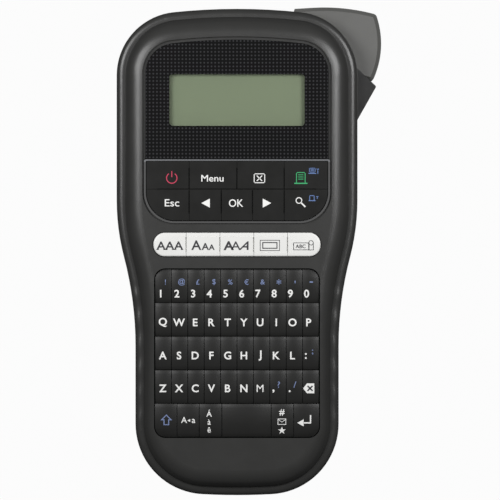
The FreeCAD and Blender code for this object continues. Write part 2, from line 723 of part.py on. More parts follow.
def make_drive():
    foot = size("gear_low")
    thick = size("gear_thick")
    takeup_phase = 0.0
    to_motor = math.degrees(math.atan2(motor[1] - takeup[1], motor[0] - takeup[0]))
    to_roller = math.degrees(math.atan2(platen[1] - takeup[1], platen[0] - takeup[0]))
    pinion_phase = mated_phase(takeup_phase, takeup_teeth, to_motor, pinion_teeth)
    platen_phase = mated_phase(takeup_phase, takeup_teeth, to_roller, platen_teeth)
    made("motor_pinion", gear(pinion_teeth, motor, pinion_phase, motor_shaft_radius, foot, thick))
    made("motor_shaft", post(*motor, motor_shaft_radius, foot - 0.4, 40))
    can = post(*motor, size("motor_radius"), foot + thick + 1, 42)
    can = can.makeFillet(1.0, [e for e in can.Edges if e.BoundBox.ZLength < 0.01])
    made("motor", can.cut(post(*motor, motor_shaft_radius + run_gap, foot, 40.2)))
    wheel = gear(takeup_teeth, takeup, takeup_phase, 1.0, foot, thick)
    spindle = post(*takeup, spindle_radius, cassette_foot + 2, foot + thick + 1.5)
    made("takeup_gear", wheel.fuse(spindle).removeSplitter())
    made("platen_gear", gear(platen_teeth, platen, platen_phase, shaft_radius, foot, thick))
    made("platen_shaft", post(*platen, shaft_radius, cassette_foot + 1, foot + thick + 1.5))
    roller = post(*platen, size("platen_radius"), tape_low, tape_low + tape_wide + 1)
    made("platen_roller", roller.cut(post(*platen, shaft_radius, 0, 30)))


def make_head():
    left = platen[0] - 5.5
    right = platen[0] + 5.5
    head_low = tape_low - 0.5
    face = tape_line + 0.35
    made("print_head", block(left + 0.5, right - 0.5, face, face + 1.2, head_low, head_low + tape_wide + 2))
    bracket = block(left, right, face + 1.2, face + 3.2, head_low - 0.8, floor_low)
    foot = block(left, right, face + 3.2, face + 9.0, floor_low - 1.6, floor_low)
    made("head_bracket", bracket.fuse(foot).removeSplitter())


# ---- tape cassette ----

def make_cassette():
    left = cassette_left
    right = cassette_right
    low = cassette_low
    top = cassette_top
    foot = cassette_foot
    lid_thick = 1.2
    skin = 1.2
    crest = foot + size("cassette_deep") - lid_thick
    roll = (left + size("roll_radius") + 4.5, (low + top) / 2 + 3)
    ribbon = (right - 23, top - 14)
    tray = block(left, right, low, top, foot, crest)
    tray = tray.makeFillet(4.0, [e for e in tray.Edges if e.BoundBox.ZLength > 5])
    tray = tray.cut(block(left + skin, right - skin, low + skin, top - skin, foot + skin, crest + 1))
    tray = tray.fuse(post(*roll, 7.8, foot + skin - 0.2, crest - 1.5))
    tray = tray.fuse(post(*ribbon, 2.2, foot + skin - 0.2, crest - 1.5))
    tape_high = tape_low + tape_wide
    mouth = block(right - 4, right + 1, tape_line - 1, tape_line + 1.2, tape_low - 0.3, tape_high + 0.3)
    made("cassette_tray", tray.cut(mouth))
    lid = block(left, right, low, top, crest, crest + lid_thick)
    lid = lid.makeFillet(4.0, [e for e in lid.Edges if e.BoundBox.ZLength > 1])
    made("cassette_lid", lid.cut(post(*takeup, spindle_radius + 0.9, crest - 1, crest + 3)))
    roll_radius = size("roll_radius")
    made("tape_roll", post(*roll, roll_radius, tape_low, tape_high).cut(post(*roll, 8.1, 0, 40)))
    made("ribbon_roll", post(*ribbon, 6.5, tape_low, tape_high).cut(post(*ribbon, 2.5, 0, 40)))
    spool = post(*takeup, 6.0, tape_low, tape_high).cut(post(*takeup, spindle_radius, 0, 40))
    made("takeup_spool", spool)
    # the tape leaves the roll along its lower tangent, turns at the cassette's mouth and runs to the blade
    guide = (right - 3.0, tape_line)
    bearing = math.atan2(guide[1] - roll[1], guide[0] - roll[0])
    outside = roll_radius + 0.3
    touch = bearing - math.acos(outside / math.dist(roll, guide))
    start = (roll[0] + outside * math.cos(touch), roll[1] + outside * math.sin(touch))
    thick = 0.15
    path = (start, guide, (half_head - 6.8, tape_line))
    sides = [Vector(x, y, tape_low) for x, y in path]
    sides += [Vector(x, y + thick, tape_low) for x, y in reversed(path)]
    made("tape_strip", Part.Face(Part.makePolygon(sides + sides[:1])).extrude(Vector(0, 0, tape_wide)))


# ---- power cells ----

def make_cells():
    radius = size("cell_round") / 2
    long = size("cell_long")
    pitch = size("cell_pitch")
    centre_level = 13.0
    cells = []
    springs = []
    plates = []
    for number in range(6):
        y = size("bay_middle") + (number - 2.5) * pitch
        way = 1 if number % 2 else -1
        nub = 1.0
        start = Vector(-way * long / 2, y, centre_level)
        can = Part.makeCylinder(radius, long - nub, start, Vector(way, 0, 0))
        nub_start = Vector(way * (long / 2 - nub - 0.5), y, centre_level)
        tip = Part.makeCylinder(1.9, nub + 0.5, nub_start, Vector(way, 0, 0))
        cells.append(can.fuse(tip).removeSplitter())
        spring_start = Vector(-way * (long / 2 + 3.0), y, centre_level)
        springs.append(Part.makeCone(3.6, 2.2, 2.6, spring_start, Vector(way, 0, 0)))
        for side in (-1, 1):
            near = side * (long / 2 + 3.2)
            plates.append(block(near - 0.2, near + 0.2, y - 4.6, y + 4.6,
                                centre_level - 4.5, centre_level + 4.5))
        bump_start = Vector(way * (long / 2 + 3.0), y, centre_level)
        nub_side = -1 if way > 0 else -2
        bump = Part.makeCone(3.0, 1.4, 2.6, bump_start, Vector(-way, 0, 0))
        plates[nub_side] = plates[nub_side].fuse(bump)
    made("aaa_cells", Part.makeCompound([c.Solids[0] for c in cells]))
    made("battery_springs", Part.makeCompound(springs))
    made("battery_contacts", Part.makeCompound([p.Solids[0] for p in plates]))


make_front_case()
make_middle_case()
make_back_cover()
make_display()
make_trim()
make_control_keys()
make_quick_keys()
make_letter_keys()
make_boards()
make_power_socket()
make_screws()
make_cutter()
make_drive()
make_head()
make_cassette()
make_cells()
doc.recompute()

faults = [item.Name for item in doc.Objects if "Invalid" in item.State or "Error" in item.State]
for name, item in nodes.items():
    if item.Shape.isNull() or not item.Shape.isValid() or item.Shape.Volume <= 0:
        faults.append(name)
if faults:
    raise RuntimeError("these came out wrong: " + ", ".join(faults))
for name, item in nodes.items():
    item.Shape.exportStep(f"parts/{name}.step")
    print(f"{name:18s} {item.Shape.Volume:12.1f} mm3  solids {len(item.Shape.Solids)}")
print(len(nodes), "pieces")
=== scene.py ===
# %% [markdown]
# # A handheld label maker
# The solid parts come in as a fixed frame: case halves, cover, keys, lever, cassette and cells, in
# metres, with +Z out of the front and +Y towards the display. This lesson gives every part its
# finish and models again the parts whose simple frame shape hides what the eye looks for: soft
# key caps with printed legends, coil springs and the power cells; wound tape gets rings in its finish.

# %% Load the frame
import math

import bmesh
import bpy
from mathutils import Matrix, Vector


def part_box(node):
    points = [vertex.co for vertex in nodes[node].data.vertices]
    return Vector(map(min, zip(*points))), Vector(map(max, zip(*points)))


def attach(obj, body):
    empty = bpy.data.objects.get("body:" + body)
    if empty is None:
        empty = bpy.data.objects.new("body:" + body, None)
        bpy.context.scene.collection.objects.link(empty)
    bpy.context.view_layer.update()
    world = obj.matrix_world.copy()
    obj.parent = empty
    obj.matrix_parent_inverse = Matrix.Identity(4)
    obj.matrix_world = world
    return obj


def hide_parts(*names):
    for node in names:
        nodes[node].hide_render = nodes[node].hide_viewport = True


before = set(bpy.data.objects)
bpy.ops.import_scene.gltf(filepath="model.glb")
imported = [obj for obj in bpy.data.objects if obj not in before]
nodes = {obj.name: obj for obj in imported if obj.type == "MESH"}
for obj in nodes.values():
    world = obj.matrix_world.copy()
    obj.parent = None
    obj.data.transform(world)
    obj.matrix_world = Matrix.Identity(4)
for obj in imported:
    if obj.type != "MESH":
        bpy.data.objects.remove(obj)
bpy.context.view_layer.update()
MM = 0.001
print("frame pieces:", len(nodes))

# %% [markdown]
# ## Colours and shader nodes
# A finish is a small graph of shader nodes. Two helpers keep every graph short: one turns the
# hex colour that a paint chart gives into the linear numbers that Blender mixes light with, and
# one adds a node, sets its values and links its inputs in a single call.

# %% Colour and node helpers
def linear(hex_colour):
    """The linear colour, with full alpha, of an sRGB hex value."""
    values = [int(hex_colour[i:i + 2], 16) / 255 for i in (1, 3, 5)]
    return [v / 12.92 if v <= 0.04045 else ((v + 0.055) / 1.055) ** 2.4 for v in values] + [1.0]


def add(tree, kind, settings=None, links=None):
    """Adds a shader node; a setting's key is a socket (its name or number) or a property."""
    node = tree.nodes.new("ShaderNode" + kind)
    for key, value in (settings or {}).items():
        if isinstance(key, int) or key in node.inputs:
            node.inputs[key].default_value = value
        else:
            setattr(node, key, value)
    for key, source in (links or {}).items():
        tree.links.new(source, node.inputs[key])
    return node


def new_material(name, **sockets):
    """A material with its Principled shader, whose even values are set on its own sockets."""
    material = bpy.data.materials.new(name)
    material.use_nodes = True
    shader = material.node_tree.nodes["Principled BSDF"]
    for key, value in sockets.items():
        shader.inputs[key.replace("_", " ")].default_value = value
    place = add(material.node_tree, "TexCoord").outputs["Object"]
    return material, material.node_tree, shader, place


def speckle(tree, place, size_mm, detail=2.0):
    """A noise whose blotches are about size_mm wide, from 0 to 1."""
    noise = add(tree, "TexNoise", {"Scale": 1 / (size_mm * MM), "Detail": detail}, {"Vector": place})
    return noise.outputs["Fac"]


def tinted(tree, amount, low, high):
    """A colour between two hex colours."""
    mix = add(tree, "Mix", {"data_type": "RGBA", 6: linear(low), 7: linear(high)}, {0: amount})
    return mix.outputs[2]


def ranged(tree, amount, low, high, start=0.0, end=1.0):
    """Low where the amount is at its start, high where it is at its end, and a ramp between."""
    keep = {"From Min": start, "From Max": end, "To Min": low, "To Max": high}
    return add(tree, "MapRange", keep, {"Value": amount}).outputs["Result"]


def bumped(tree, shader, height, strength, deep_mm):
    """Lets a pattern stand up to deep_mm out of the surface."""
    bump = add(tree, "Bump", {"Strength": strength, "Distance": deep_mm * MM}, {"Height": height})
    tree.links.new(bump.outputs["Normal"], shader.inputs["Normal"])


# %% [markdown]
# ## Moulded plastics
# Most of the object is injection-moulded plastic. The mould is spark-eroded, which leaves a fine
# sand-like grain that breaks up the shine. The grain is a bump of a few tenths of a millimetre,
# the colour varies a little with the flow of the melt, and the shine varies where hands polish it.

# %% Moulded plastic
def moulded_plastic(name, dark, pale, roughness, grain_mm=0.25, grain=0.25, ior=1.53):
    """Plastic or rubber from a mould, cloudy between two close tones, with a fine grain."""
    material, tree, shader, place = new_material(name, IOR=ior)
    cloud = speckle(tree, place, 14.0, 3.0)
    tree.links.new(tinted(tree, cloud, dark, pale), shader.inputs["Base Color"])
    shine = ranged(tree, speckle(tree, place, 6.0), roughness - 0.05, roughness + 0.05)
    tree.links.new(shine, shader.inputs["Roughness"])
    bumped(tree, shader, speckle(tree, place, grain_mm, 1.0), grain, 0.05)
    return material


def waved_plastic(name, dark, pale, roughness):
    """Case plastic with the shallow finger waves that are moulded into both sides of the grip, and painted
    shade that darkens the guard beside the lever.
    """
    material = moulded_plastic(name, dark, pale, roughness)
    tree = material.node_tree
    grain = tree.nodes["Bump"]
    place = tree.nodes["Texture Coordinate"].outputs["Object"]
    split = add(tree, "SeparateXYZ", None, {0: place})
    side = add(tree, "Math", {"operation": "ABSOLUTE"}, {0: split.outputs["X"]}).outputs[0]
    # the waves fade in towards the side, and fade out at the waist and at the foot
    near_side = ranged(tree, side, 0.0, 1.0, 39 * MM, 43 * MM)
    under_waist = ranged(tree, split.outputs["Y"], 1.0, 0.0, -18 * MM, -12 * MM)
    above_foot = ranged(tree, split.outputs["Y"], 0.0, 1.0, -76 * MM, -70 * MM)
    wave_long = 10.6 * MM
    turns = add(tree, "Math", {"operation": "MULTIPLY", 1: 2 * math.pi / wave_long}, {0: split.outputs["Y"]})
    wave = add(tree, "Math", {"operation": "SINE"}, {0: turns.outputs[0]}).outputs[0]
    for mask in (near_side, under_waist, above_foot):
        wave = add(tree, "Math", {"operation": "MULTIPLY"}, {0: wave, 1: mask}).outputs[0]
    waves = add(tree, "Bump", {"Strength": 0.6, "Distance": 0.3 * MM}, {"Height": wave})
    tree.links.new(waves.outputs["Normal"], grain.inputs["Normal"])
    # painted shade: the guard beside the lever, which alone stands out past the side, lies lower and slopes
    # away from the lights, so its colour is darkened to near black
    shader = tree.nodes["Principled BSDF"]
    grey = shader.inputs["Base Color"].links[0].from_socket
    wedge_painted_shade = ranged(tree, split.outputs["X"], 0.0, 1.0, 51.25 * MM, 51.6 * MM)
    mix = add(tree, "Mix", {"data_type": "RGBA", 7: linear("#1b1b1b")}, {0: wedge_painted_shade, 6: grey})
    tree.links.new(mix.outputs[2], shader.inputs["Base Color"])
    return material


# charcoal ABS from an eroded mould: matt at a glance, soft bands of light on the rounded edges
charcoal_abs = waved_plastic("charcoal_moulded_abs", "#2f2f2e", "#363635", 0.32)
# the same plastic on the back, from a coarser mould, so that it grips
grip_abs = moulded_plastic("coarse_grained_abs", "#2e2e2d", "#353534", 0.5, 0.45, 0.5)
# mid grey ABS of the lever: lighter, slightly warmer, satin
lever_abs = moulded_plastic("grey_satin_abs", "#5a5a58", "#61615f", 0.36)
# black nylon of sockets and small mouldings: nearly black, a little waxy
black_nylon = moulded_plastic("black_nylon", "#151515", "#1d1d1d", 0.5, 0.3, 0.15)
# acetal of gears and sliders: milky white with a soft sheen
white_acetal = moulded_plastic("white_acetal", "#dcdad2", "#e6e4dc", 0.38, 0.6, 0.08, 1.48)
# crystal styrene of the tape cassette: pale grey, smooth
cassette_styrene = moulded_plastic("pale_grey_styrene", "#b4b5b2", "#bfc0bd", 0.35, 0.8, 0.06, 1.59)
print("plastics ready")

# %% [markdown]
# ## Key materials
# The dark keys are silicone rubber: almost no shine, a very fine matt skin. The quick keys are a
# hard glossy white plastic. The legends are screen-printed ink, which is matt and quite flat.

# %% Key materials
# black silicone: soft matt, it swallows light
key_silicone = moulded_plastic("black_matt_silicone", "#1b1b1a", "#20201f", 0.42, 0.2, 0.12, 1.41)
# the control keys: the same black, pressed smooth
control_silicone = moulded_plastic("black_smooth_silicone", "#1a1a19", "#1e1e1d", 0.3, 0.4, 0.06, 1.41)
# white ABS, polished mould
quick_abs = moulded_plastic("white_polished_abs", "#e6e6e3", "#ececea", 0.28, 1.5, 0.03)


def printed_ink(name, colour, thin):
    """Screen-printed ink: flat and matt, a shade duller where the mesh left it thin."""
    material, tree, shader, place = new_material(name, Roughness=0.55, IOR=1.5)
    tree.links.new(tinted(tree, speckle(tree, place, 0.3), thin, colour), shader.inputs["Base Color"])
    bumped(tree, shader, speckle(tree, place, 0.12), 0.1, 0.02)
    return material


ink_white = printed_ink("white_screen_ink", "#fafaf8", "#e8e8e6")
ink_blue = printed_ink("slate_blue_screen_ink", "#7f8fb8", "#6c7ba4")
ink_red = printed_ink("crimson_screen_ink", "#cf3c5c", "#b83050")
ink_green = printed_ink("green_screen_ink", "#38b070", "#2c9c60")
ink_navy = printed_ink("dim_blue_screen_ink", "#6a86bc", "#5874aa")
ink_black = printed_ink("charcoal_screen_ink", "#2a2a2e", "#36363a")
print("inks ready")

# %% [markdown]
# ## Display
# The display window is one gloss-black acrylic plate printed with a grid of pale dots, 1.5 mm
# apart. Behind a clear pane lies the liquid crystal cell, grey-green because its polariser is.

# %% Display materials
def dotted_acrylic():
    """Gloss black acrylic with a printed dot grid: deep black that the dots lift to grey."""
    material, tree, shader, place = new_material("gloss_black_dotted_acrylic", Roughness=0.16, IOR=1.49)
    pitch = 1.54 * MM
    print_middle = 62.5 * MM
    split = add(tree, "SeparateXYZ", None, {0: place})
    squares = []
    for axis in ("X", "Y"):
        cell = add(tree, "Math", {"operation": "PINGPONG", 1: pitch / 2}, {0: split.outputs[axis]}).outputs[0]
        squares.append(add(tree, "Math", {"operation": "MULTIPLY"}, {0: cell, 1: cell}).outputs[0])
    distance = add(tree, "Math", {"operation": "ADD"}, {0: squares[0], 1: squares[1]})
    radius = add(tree, "Math", {"operation": "SQRT"}, {0: distance.outputs[0]}).outputs[0]
    dot = ranged(tree, radius, 1.0, 0.0, 0.28 * MM, 0.44 * MM)
    # the print fades towards the middle of the plate
    shifted = add(tree, "Mapping", {"Location": (0, -print_middle, 0)}, {"Vector": place}).outputs[0]
    far = add(tree, "VectorMath", {"operation": "LENGTH"}, {0: shifted}).outputs["Value"]
    fade = ranged(tree, far, 0.35, 1.0, 12 * MM, 40 * MM)
    dim = add(tree, "Math", {"operation": "MULTIPLY"}, {0: dot, 1: fade})
    tree.links.new(tinted(tree, dim.outputs[0], "#0a0a0b", "#363638"), shader.inputs["Base Color"])
    bumped(tree, shader, dot, 0.05, 0.005)
    return material


def liquid_crystal():
    """A resting liquid crystal cell: grey-green with a faint square raster of its segments."""
    material, tree, shader, place = new_material("grey_green_liquid_crystal", Roughness=0.35, IOR=1.5)
    half_segment = 0.3 * MM
    line_half = 0.05 * MM
    split = add(tree, "SeparateXYZ", None, {0: place})
    lines = []
    for axis in ("X", "Y"):
        cell = add(tree, "Math", {"operation": "PINGPONG", 1: half_segment}, {0: split.outputs[axis]})
        lines.append(ranged(tree, cell.outputs[0], 1.0, 0.0, 0.0, line_half))
    raster = add(tree, "Math", {"operation": "MAXIMUM"}, {0: lines[0], 1: lines[1]}).outputs[0]
    plain = ranged(tree, raster, 1.0, 0.5)
    tree.links.new(tinted(tree, plain, "#9c9f90", "#a7aa9b"), shader.inputs["Base Color"])
    return material


def clear_acrylic():
    """Clear acrylic: light passes straight through, and only its skin mirrors a little."""
    material, tree, shader, place = new_material("clear_acrylic")
    clear = add(tree, "BsdfTransparent", {"Color": linear("#f6faf4")})
    gloss = add(tree, "BsdfGlossy", {"Roughness": 0.12})
    share = add(tree, "Fresnel", {"IOR": 1.49})
    ripple = speckle(tree, place, 9.0)
    wave = add(tree, "Bump", {"Strength": 0.02, "Distance": 0.01 * MM}, {"Height": ripple})
    tree.links.new(wave.outputs["Normal"], gloss.inputs["Normal"])
    both = add(tree, "MixShader", None, {0: share.outputs[0], 1: clear.outputs[0], 2: gloss.outputs[0]})
    tree.links.new(both.outputs[0], tree.nodes["Material Output"].inputs["Surface"])
    tree.nodes.remove(shader)
    return material


panel_acrylic = dotted_acrylic()
crystal = liquid_crystal()
pane = clear_acrylic()
print("display ready")

# %% [markdown]
# ## Metals, board and rubber
# Hidden behind the cover are bright and brushed metals, a green circuit board and ground rubber.
# A metal's colour is its reflection, so it is metallic with its shine broken by the marks of how
# it was made: drawn, stamped or brushed.

# %% Metals and inner materials
def worked_metal(name, colour, shade, roughness, stretch, mark_mm):
    """A bare metal between two tones, with fine marks along one direction."""
    material, tree, shader, place = new_material(name, Metallic=1.0)
    turned = add(tree, "Mapping", {"Scale": stretch}, {"Vector": place}).outputs[0]
    marks = speckle(tree, turned, mark_mm, 3.0)
    shine = ranged(tree, marks, roughness - 0.07, roughness + 0.1)
    tree.links.new(shine, shader.inputs["Roughness"])
    tree.links.new(tinted(tree, marks, colour, shade), shader.inputs["Base Color"])
    bumped(tree, shader, marks, 0.12, 0.01)
    return material


spring_steel = worked_metal("drawn_spring_steel", "#b9bbbd", "#a6a8aa", 0.25, (1, 1, 1), 0.3)
plated_steel = worked_metal("nickel_plated_steel", "#c4c3bd", "#b3b2ac", 0.22, (1, 1, 8), 0.5)
blade_steel = worked_metal("ground_blade_steel", "#c9cbcd", "#b6b8ba", 0.2, (1, 12, 1), 0.4)
stamped_aluminium = worked_metal("stamped_aluminium", "#d2d4d6", "#c0c2c4", 0.34, (10, 1, 1), 0.6)
motor_steel = worked_metal("zinc_plated_motor_can", "#a9adb0", "#989c9f", 0.3, (1, 1, 12), 0.5)


def lacquered_trim():
    """The trim ring: satin black plastic whose bar under the display is lacquered silver."""
    material, tree, shader, place = new_material("silver_lacquered_black_trim")
    split = add(tree, "SeparateXYZ", None, {0: place})
    bar_foot = 38.0 * MM
    silver = ranged(tree, split.outputs["Y"], 0.0, 1.0, bar_foot, bar_foot + 0.5 * MM)
    flakes = tinted(tree, speckle(tree, place, 0.15, 0.0), "#939598", "#838588")
    mix = add(tree, "Mix", {"data_type": "RGBA", 6: linear("#4a4a4a")}, {0: silver, 7: flakes})
    tree.links.new(mix.outputs[2], shader.inputs["Base Color"])
    tree.links.new(ranged(tree, silver, 0.15, 0.8), shader.inputs["Metallic"])
    tree.links.new(ranged(tree, silver, 0.45, 0.32), shader.inputs["Roughness"])
    return material


silver_lacquer = lacquered_trim()


def solder_mask():
    """Green solder mask over copper tracks: glossy, with straight paler lines where copper runs."""
    material, tree, shader, place = new_material("green_solder_mask", Roughness=0.28, IOR=1.55)
    bricks = add(tree, "TexBrick", {"Scale": 1 / (6 * MM), "Mortar Size": 0.04, "Mortar Smooth": 0.2,
                                    "Brick Width": 1.3, "Row Height": 0.35}, {"Vector": place})
    tree.links.new(tinted(tree, bricks.outputs["Fac"], "#0f5a34", "#2b8552"), shader.inputs["Base Color"])
    bumped(tree, shader, bricks.outputs["Fac"], 0.3, 0.03)
    return material


board_mask = solder_mask()
# grey silicone of the contact mats
mat_silicone = moulded_plastic("grey_contact_silicone", "#8b8d8e", "#949697", 0.5, 0.5, 0.1, 1.41)
# nitrile rubber of the platen, ground true: black, dusty matt
platen_rubber = moulded_plastic("ground_nitrile_rubber", "#1b1b1b", "#242424", 0.7, 0.15, 0.3, 1.52)
# alumina strip of the print head with its glaze line
head_ceramic = moulded_plastic("white_alumina", "#dcd9d0", "#e8e5dc", 0.3, 0.2, 0.05, 1.76)


def wound(name, low, high, centre, roughness):
    """A wound roll seen on its end: fine rings of one layer each about the spool."""
    material, tree, shader, place = new_material(name, Roughness=roughness)
    shifted = add(tree, "Mapping", {"Location": (-centre[0], -centre[1], 0)}, {"Vector": place}).outputs[0]
    layer_pitch = 0.6 * MM
    rings = add(tree, "TexWave", {"wave_type": "RINGS", "rings_direction": "Z", "Distortion": 0.6,
                                  "Scale": 0.5 / layer_pitch / math.pi}, {"Vector": shifted})
    tree.links.new(tinted(tree, rings.outputs["Fac"], low, high), shader.inputs["Base Color"])
    bumped(tree, shader, rings.outputs["Fac"], 0.3, 0.05)
    return material


def middle(node):
    """The middle of a frame piece's box."""
    low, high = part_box(node)
    return (low + high) / 2


tape_layers = wound("wound_white_label_tape", "#d4d3cd", "#eeede8", middle("tape_roll"), 0.5)
ribbon_layers = wound("wound_ink_ribbon", "#151517", "#2c2c30", middle("ribbon_roll"), 0.35)
print("inner materials ready")

# %% [markdown]
# ## Finishes of the frame pieces
# The case halves, the lever and the small hard parts keep their frame shape and only take a
# finish. A frame piece has one material slot, so giving it a material is one line.

# %% Give every frame piece its finish
finishes = {
    charcoal_abs: ["front_case", "middle_case"],
    grip_abs: ["back_cover"],
    lever_abs: ["cutter_lever"],
    panel_acrylic: ["display_panel"],
    pane: ["lcd_lens"],
    crystal: ["lcd_module"],
    silver_lacquer: ["key_trim"],
    board_mask: ["main_board"],
    mat_silicone: ["letter_mat", "function_mat"],
    plated_steel: ["case_screws", "lever_pin", "platen_shaft", "motor_shaft", "battery_contacts"],
    spring_steel: ["lever_spring", "battery_springs"],
    blade_steel: ["blade"],
    stamped_aluminium: ["head_bracket"],
    motor_steel: ["motor"],
    white_acetal: ["blade_holder", "motor_pinion", "takeup_gear", "platen_gear"],
    head_ceramic: ["print_head"],
    platen_rubber: ["platen_roller"],
    cassette_styrene: ["cassette_tray", "cassette_lid"],
    tape_layers: ["tape_roll", "tape_strip"],
    ribbon_layers: ["ribbon_roll", "takeup_spool"],
    black_nylon: ["power_socket"],
}
for finish, names in finishes.items():
    for name in names:
        nodes[name].data.materials.clear()
        nodes[name].data.materials.append(finish)
print("finished frame pieces:", sum(len(names) for names in finishes.values()))

# %% [markdown]
# ## Working in edit mode from code
# A modeller clicks on a face and presses a key. In code the click becomes a test on each face or
# edge: where is its middle, which way does it look? These helpers open a piece, pick by such a
# test, and close it again. `settle` puts the object's origin at the world's, so that the whole place
# of the piece is in its mesh; `finish_piece` rounds the edges, smooths the shading, gives the finish
# and hangs the piece on its body.

# %% Helpers for modelling
def activate(piece):
    """Leaves edit mode and makes the piece the only one that is selected."""
    if bpy.context.object and bpy.context.object.mode == "EDIT":
        bpy.ops.object.mode_set(mode="OBJECT")
    bpy.ops.object.select_all(action="DESELECT")
    piece.select_set(True)
    bpy.context.view_layer.objects.active = piece


def settle(piece):
    """Puts the piece's place, turn and scale into its mesh."""
    activate(piece)
    bpy.ops.object.transform_apply(location=True, rotation=True, scale=True)
    return piece


def block(name, low, high):
    """A cuboid between two corners, given in metres."""
    bpy.ops.object.select_all(action="DESELECT")
    low, high = Vector(low), Vector(high)
    bpy.ops.mesh.primitive_cube_add(size=1, location=(low + high) / 2)
    piece = bpy.context.object
    piece.name = name
    piece.scale = high - low
    return settle(piece)


def rod(name, centre, radius, depth, turn=(0, 0, 0), sides=48):
    """A cylinder about its centre, upright unless it is turned."""
    bpy.ops.object.select_all(action="DESELECT")
    bpy.ops.mesh.primitive_cylinder_add(vertices=sides, radius=radius, depth=depth,
                                        location=centre, rotation=turn)
    bpy.context.object.name = name
    return settle(bpy.context.object)


def pick(piece, kind, test):
    """In edit mode, selects only the verts, edges or faces whose middle passes the test."""
    modes = {"verts": "VERT", "edges": "EDGE", "faces": "FACE"}
    bpy.ops.mesh.select_mode(type=modes[kind])
    bpy.ops.mesh.select_all(action="DESELECT")
    mesh = bmesh.from_edit_mesh(piece.data)
    for item in getattr(mesh, kind):
        spots = [item.co] if kind == "verts" else [v.co for v in item.verts]
        if test(sum(spots, Vector()) / len(spots), spots):
            item.select_set(True)
    bmesh.update_edit_mesh(piece.data)


def apply_modifier(piece, kind, **settings):
    """Adds a modifier, sets its values and applies it at once."""
    activate(piece)
    modifier = piece.modifiers.new(kind.title(), kind)
    for key, value in settings.items():
        setattr(modifier, key, value)
    bpy.ops.object.modifier_apply(modifier=modifier.name)


def finish_piece(piece, finish, body, round_mm=0.0, segments=2):
    """Rounds a piece's edges, smooths its shading, gives it its finish and lets it ride a body."""
    if round_mm:
        apply_modifier(piece, "BEVEL", width=round_mm * MM, segments=segments, limit_method="ANGLE",
                       angle_limit=math.radians(32), harden_normals=False)
    activate(piece)
    bpy.ops.object.shade_smooth_by_angle(angle=math.radians(35))
    piece.data.materials.clear()
    piece.data.materials.append(finish)
    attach(piece, body)
    return piece


def rounded_plate(name, half, low, high, low_round, high_round, foot, top):
    """A cuboid whose four upright edges are rounded with two radii."""
    plate = block(name, (-half, low, foot), (half, high, top))
    for radius, edge_y in ((low_round, low), (high_round, high)):
        bpy.ops.object.mode_set(mode="EDIT")
        pick(plate, "edges", lambda middle, ends: abs(middle.y - edge_y) < 1e-6
             and abs(ends[0].z - ends[1].z) > 1e-6 and abs(ends[0].x - ends[1].x) < 1e-9)
        bpy.ops.mesh.bevel(offset=radius, segments=12, affect="EDGES", clamp_overlap=False)
        bpy.ops.object.mode_set(mode="OBJECT")
    return plate


def crossed(piece, other, operation):
    """Cuts a piece with another one, or trims it by that one's outline."""
    apply_modifier(piece, "BOOLEAN", operation=operation, object=other, solver="EXACT")


def copy_of(piece, name, shift, turn=0.0):
    """A copy with its own mesh, turned about the world's Z axis and shifted."""
    activate(piece)
    bpy.ops.object.duplicate()
    twin = bpy.context.object
    twin.name = name
    twin.rotation_euler.z = turn
    twin.location = shift
    return settle(twin)


# %% [markdown]
# ## Letter keys
# Forty-six silicone keys fill one opening, almost edge to edge. Each top is a shallow arch whose
# crest runs across, so a row catches the light at its upper edge and darkens towards its lower
# one. One key is a cuboid cut into strips along its length, whose top rings are lowered by a
# parabola. Keys in the corners are trimmed by a plate with the opening's round corners.

# %% Letter key shape
digit_low, digit_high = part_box("digit_keys")
upper_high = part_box("upper_keys")[1]
shift_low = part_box("key_shift")[0]
letter_gap = digit_low.y - upper_high.y
letter_left = digit_low.x
letter_right = digit_high.x
key_foot = digit_low.z
key_top = digit_high.z
key_pitch = (letter_right - letter_left) / 10
soft_edge = 0.22
crown = 0.55 * MM
strips = 8
corner = 4.5 * MM
letter_trim = rounded_plate("letter_trim", letter_right, shift_low.y, digit_high.y, corner, corner,
                            key_foot - MM, key_top + MM)
caps = {}


def arch(y, low, high):
    """How far the key's top lies under its crest at a place along the key."""
    crest_share = 0.60
    crest = low + crest_share * (high - low)
    return crown * ((y - crest) / ((high - low) / 2)) ** 2


def letter_key(name, left, right, low, high, trimmed):
    """A key whose top is arched along its length, trimmed where it fills a round corner."""
    key = block(name, (left, low, key_foot), (right, high, key_top))
    bpy.ops.object.mode_set(mode="EDIT")
    pick(key, "edges", lambda middle, ends: abs(ends[0].y - ends[1].y) > 1e-6)
    bpy.ops.mesh.subdivide(number_cuts=strips - 1)
    for step in range(strips + 1):
        y = low + (high - low) * step / strips
        pick(key, "verts", lambda spot, spots: abs(spot.y - y) < 1e-6 and spot.z > key_top - 1e-6)
        bpy.ops.transform.translate(value=(0, 0, -arch(y, low, high)))
    bpy.ops.object.mode_set(mode="OBJECT")
    if trimmed:
        crossed(key, letter_trim, "INTERSECT")
    return key


print("letter key:", round((key_pitch - letter_gap) / MM, 2), "mm wide")

# %% All letter keys
rows = (("digit_keys", "1234567890"), ("upper_keys", "QWERTYUIOP"), ("home_keys", "ASDFGHJKL:"),
        ("lower_keys", "ZXCVBNM,.<"))
for node, legends in rows:
    low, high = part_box(node)
    for column, legend in enumerate(legends):
        left = letter_left + column * key_pitch + letter_gap / 2
        right = left + key_pitch - letter_gap
        trimmed = node == "digit_keys" and column in (0, 9)
        key = letter_key(f"{node}_{column}", left, right, low.y, high.y, trimmed)
        caps[node, column] = finish_piece(key, key_silicone, node + "_body", soft_edge)
    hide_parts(node)
for name in ("key_shift", "key_caps", "key_accent", "key_space", "key_symbol", "key_enter"):
    low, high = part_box(name)
    key = letter_key(name + "_cap", low.x, high.x, low.y, high.y, name in ("key_shift", "key_enter"))
    caps[name] = finish_piece(key, key_silicone, name + "_body", soft_edge)
    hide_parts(name)
bpy.data.objects.remove(letter_trim)
print("letter keys:", len(caps))

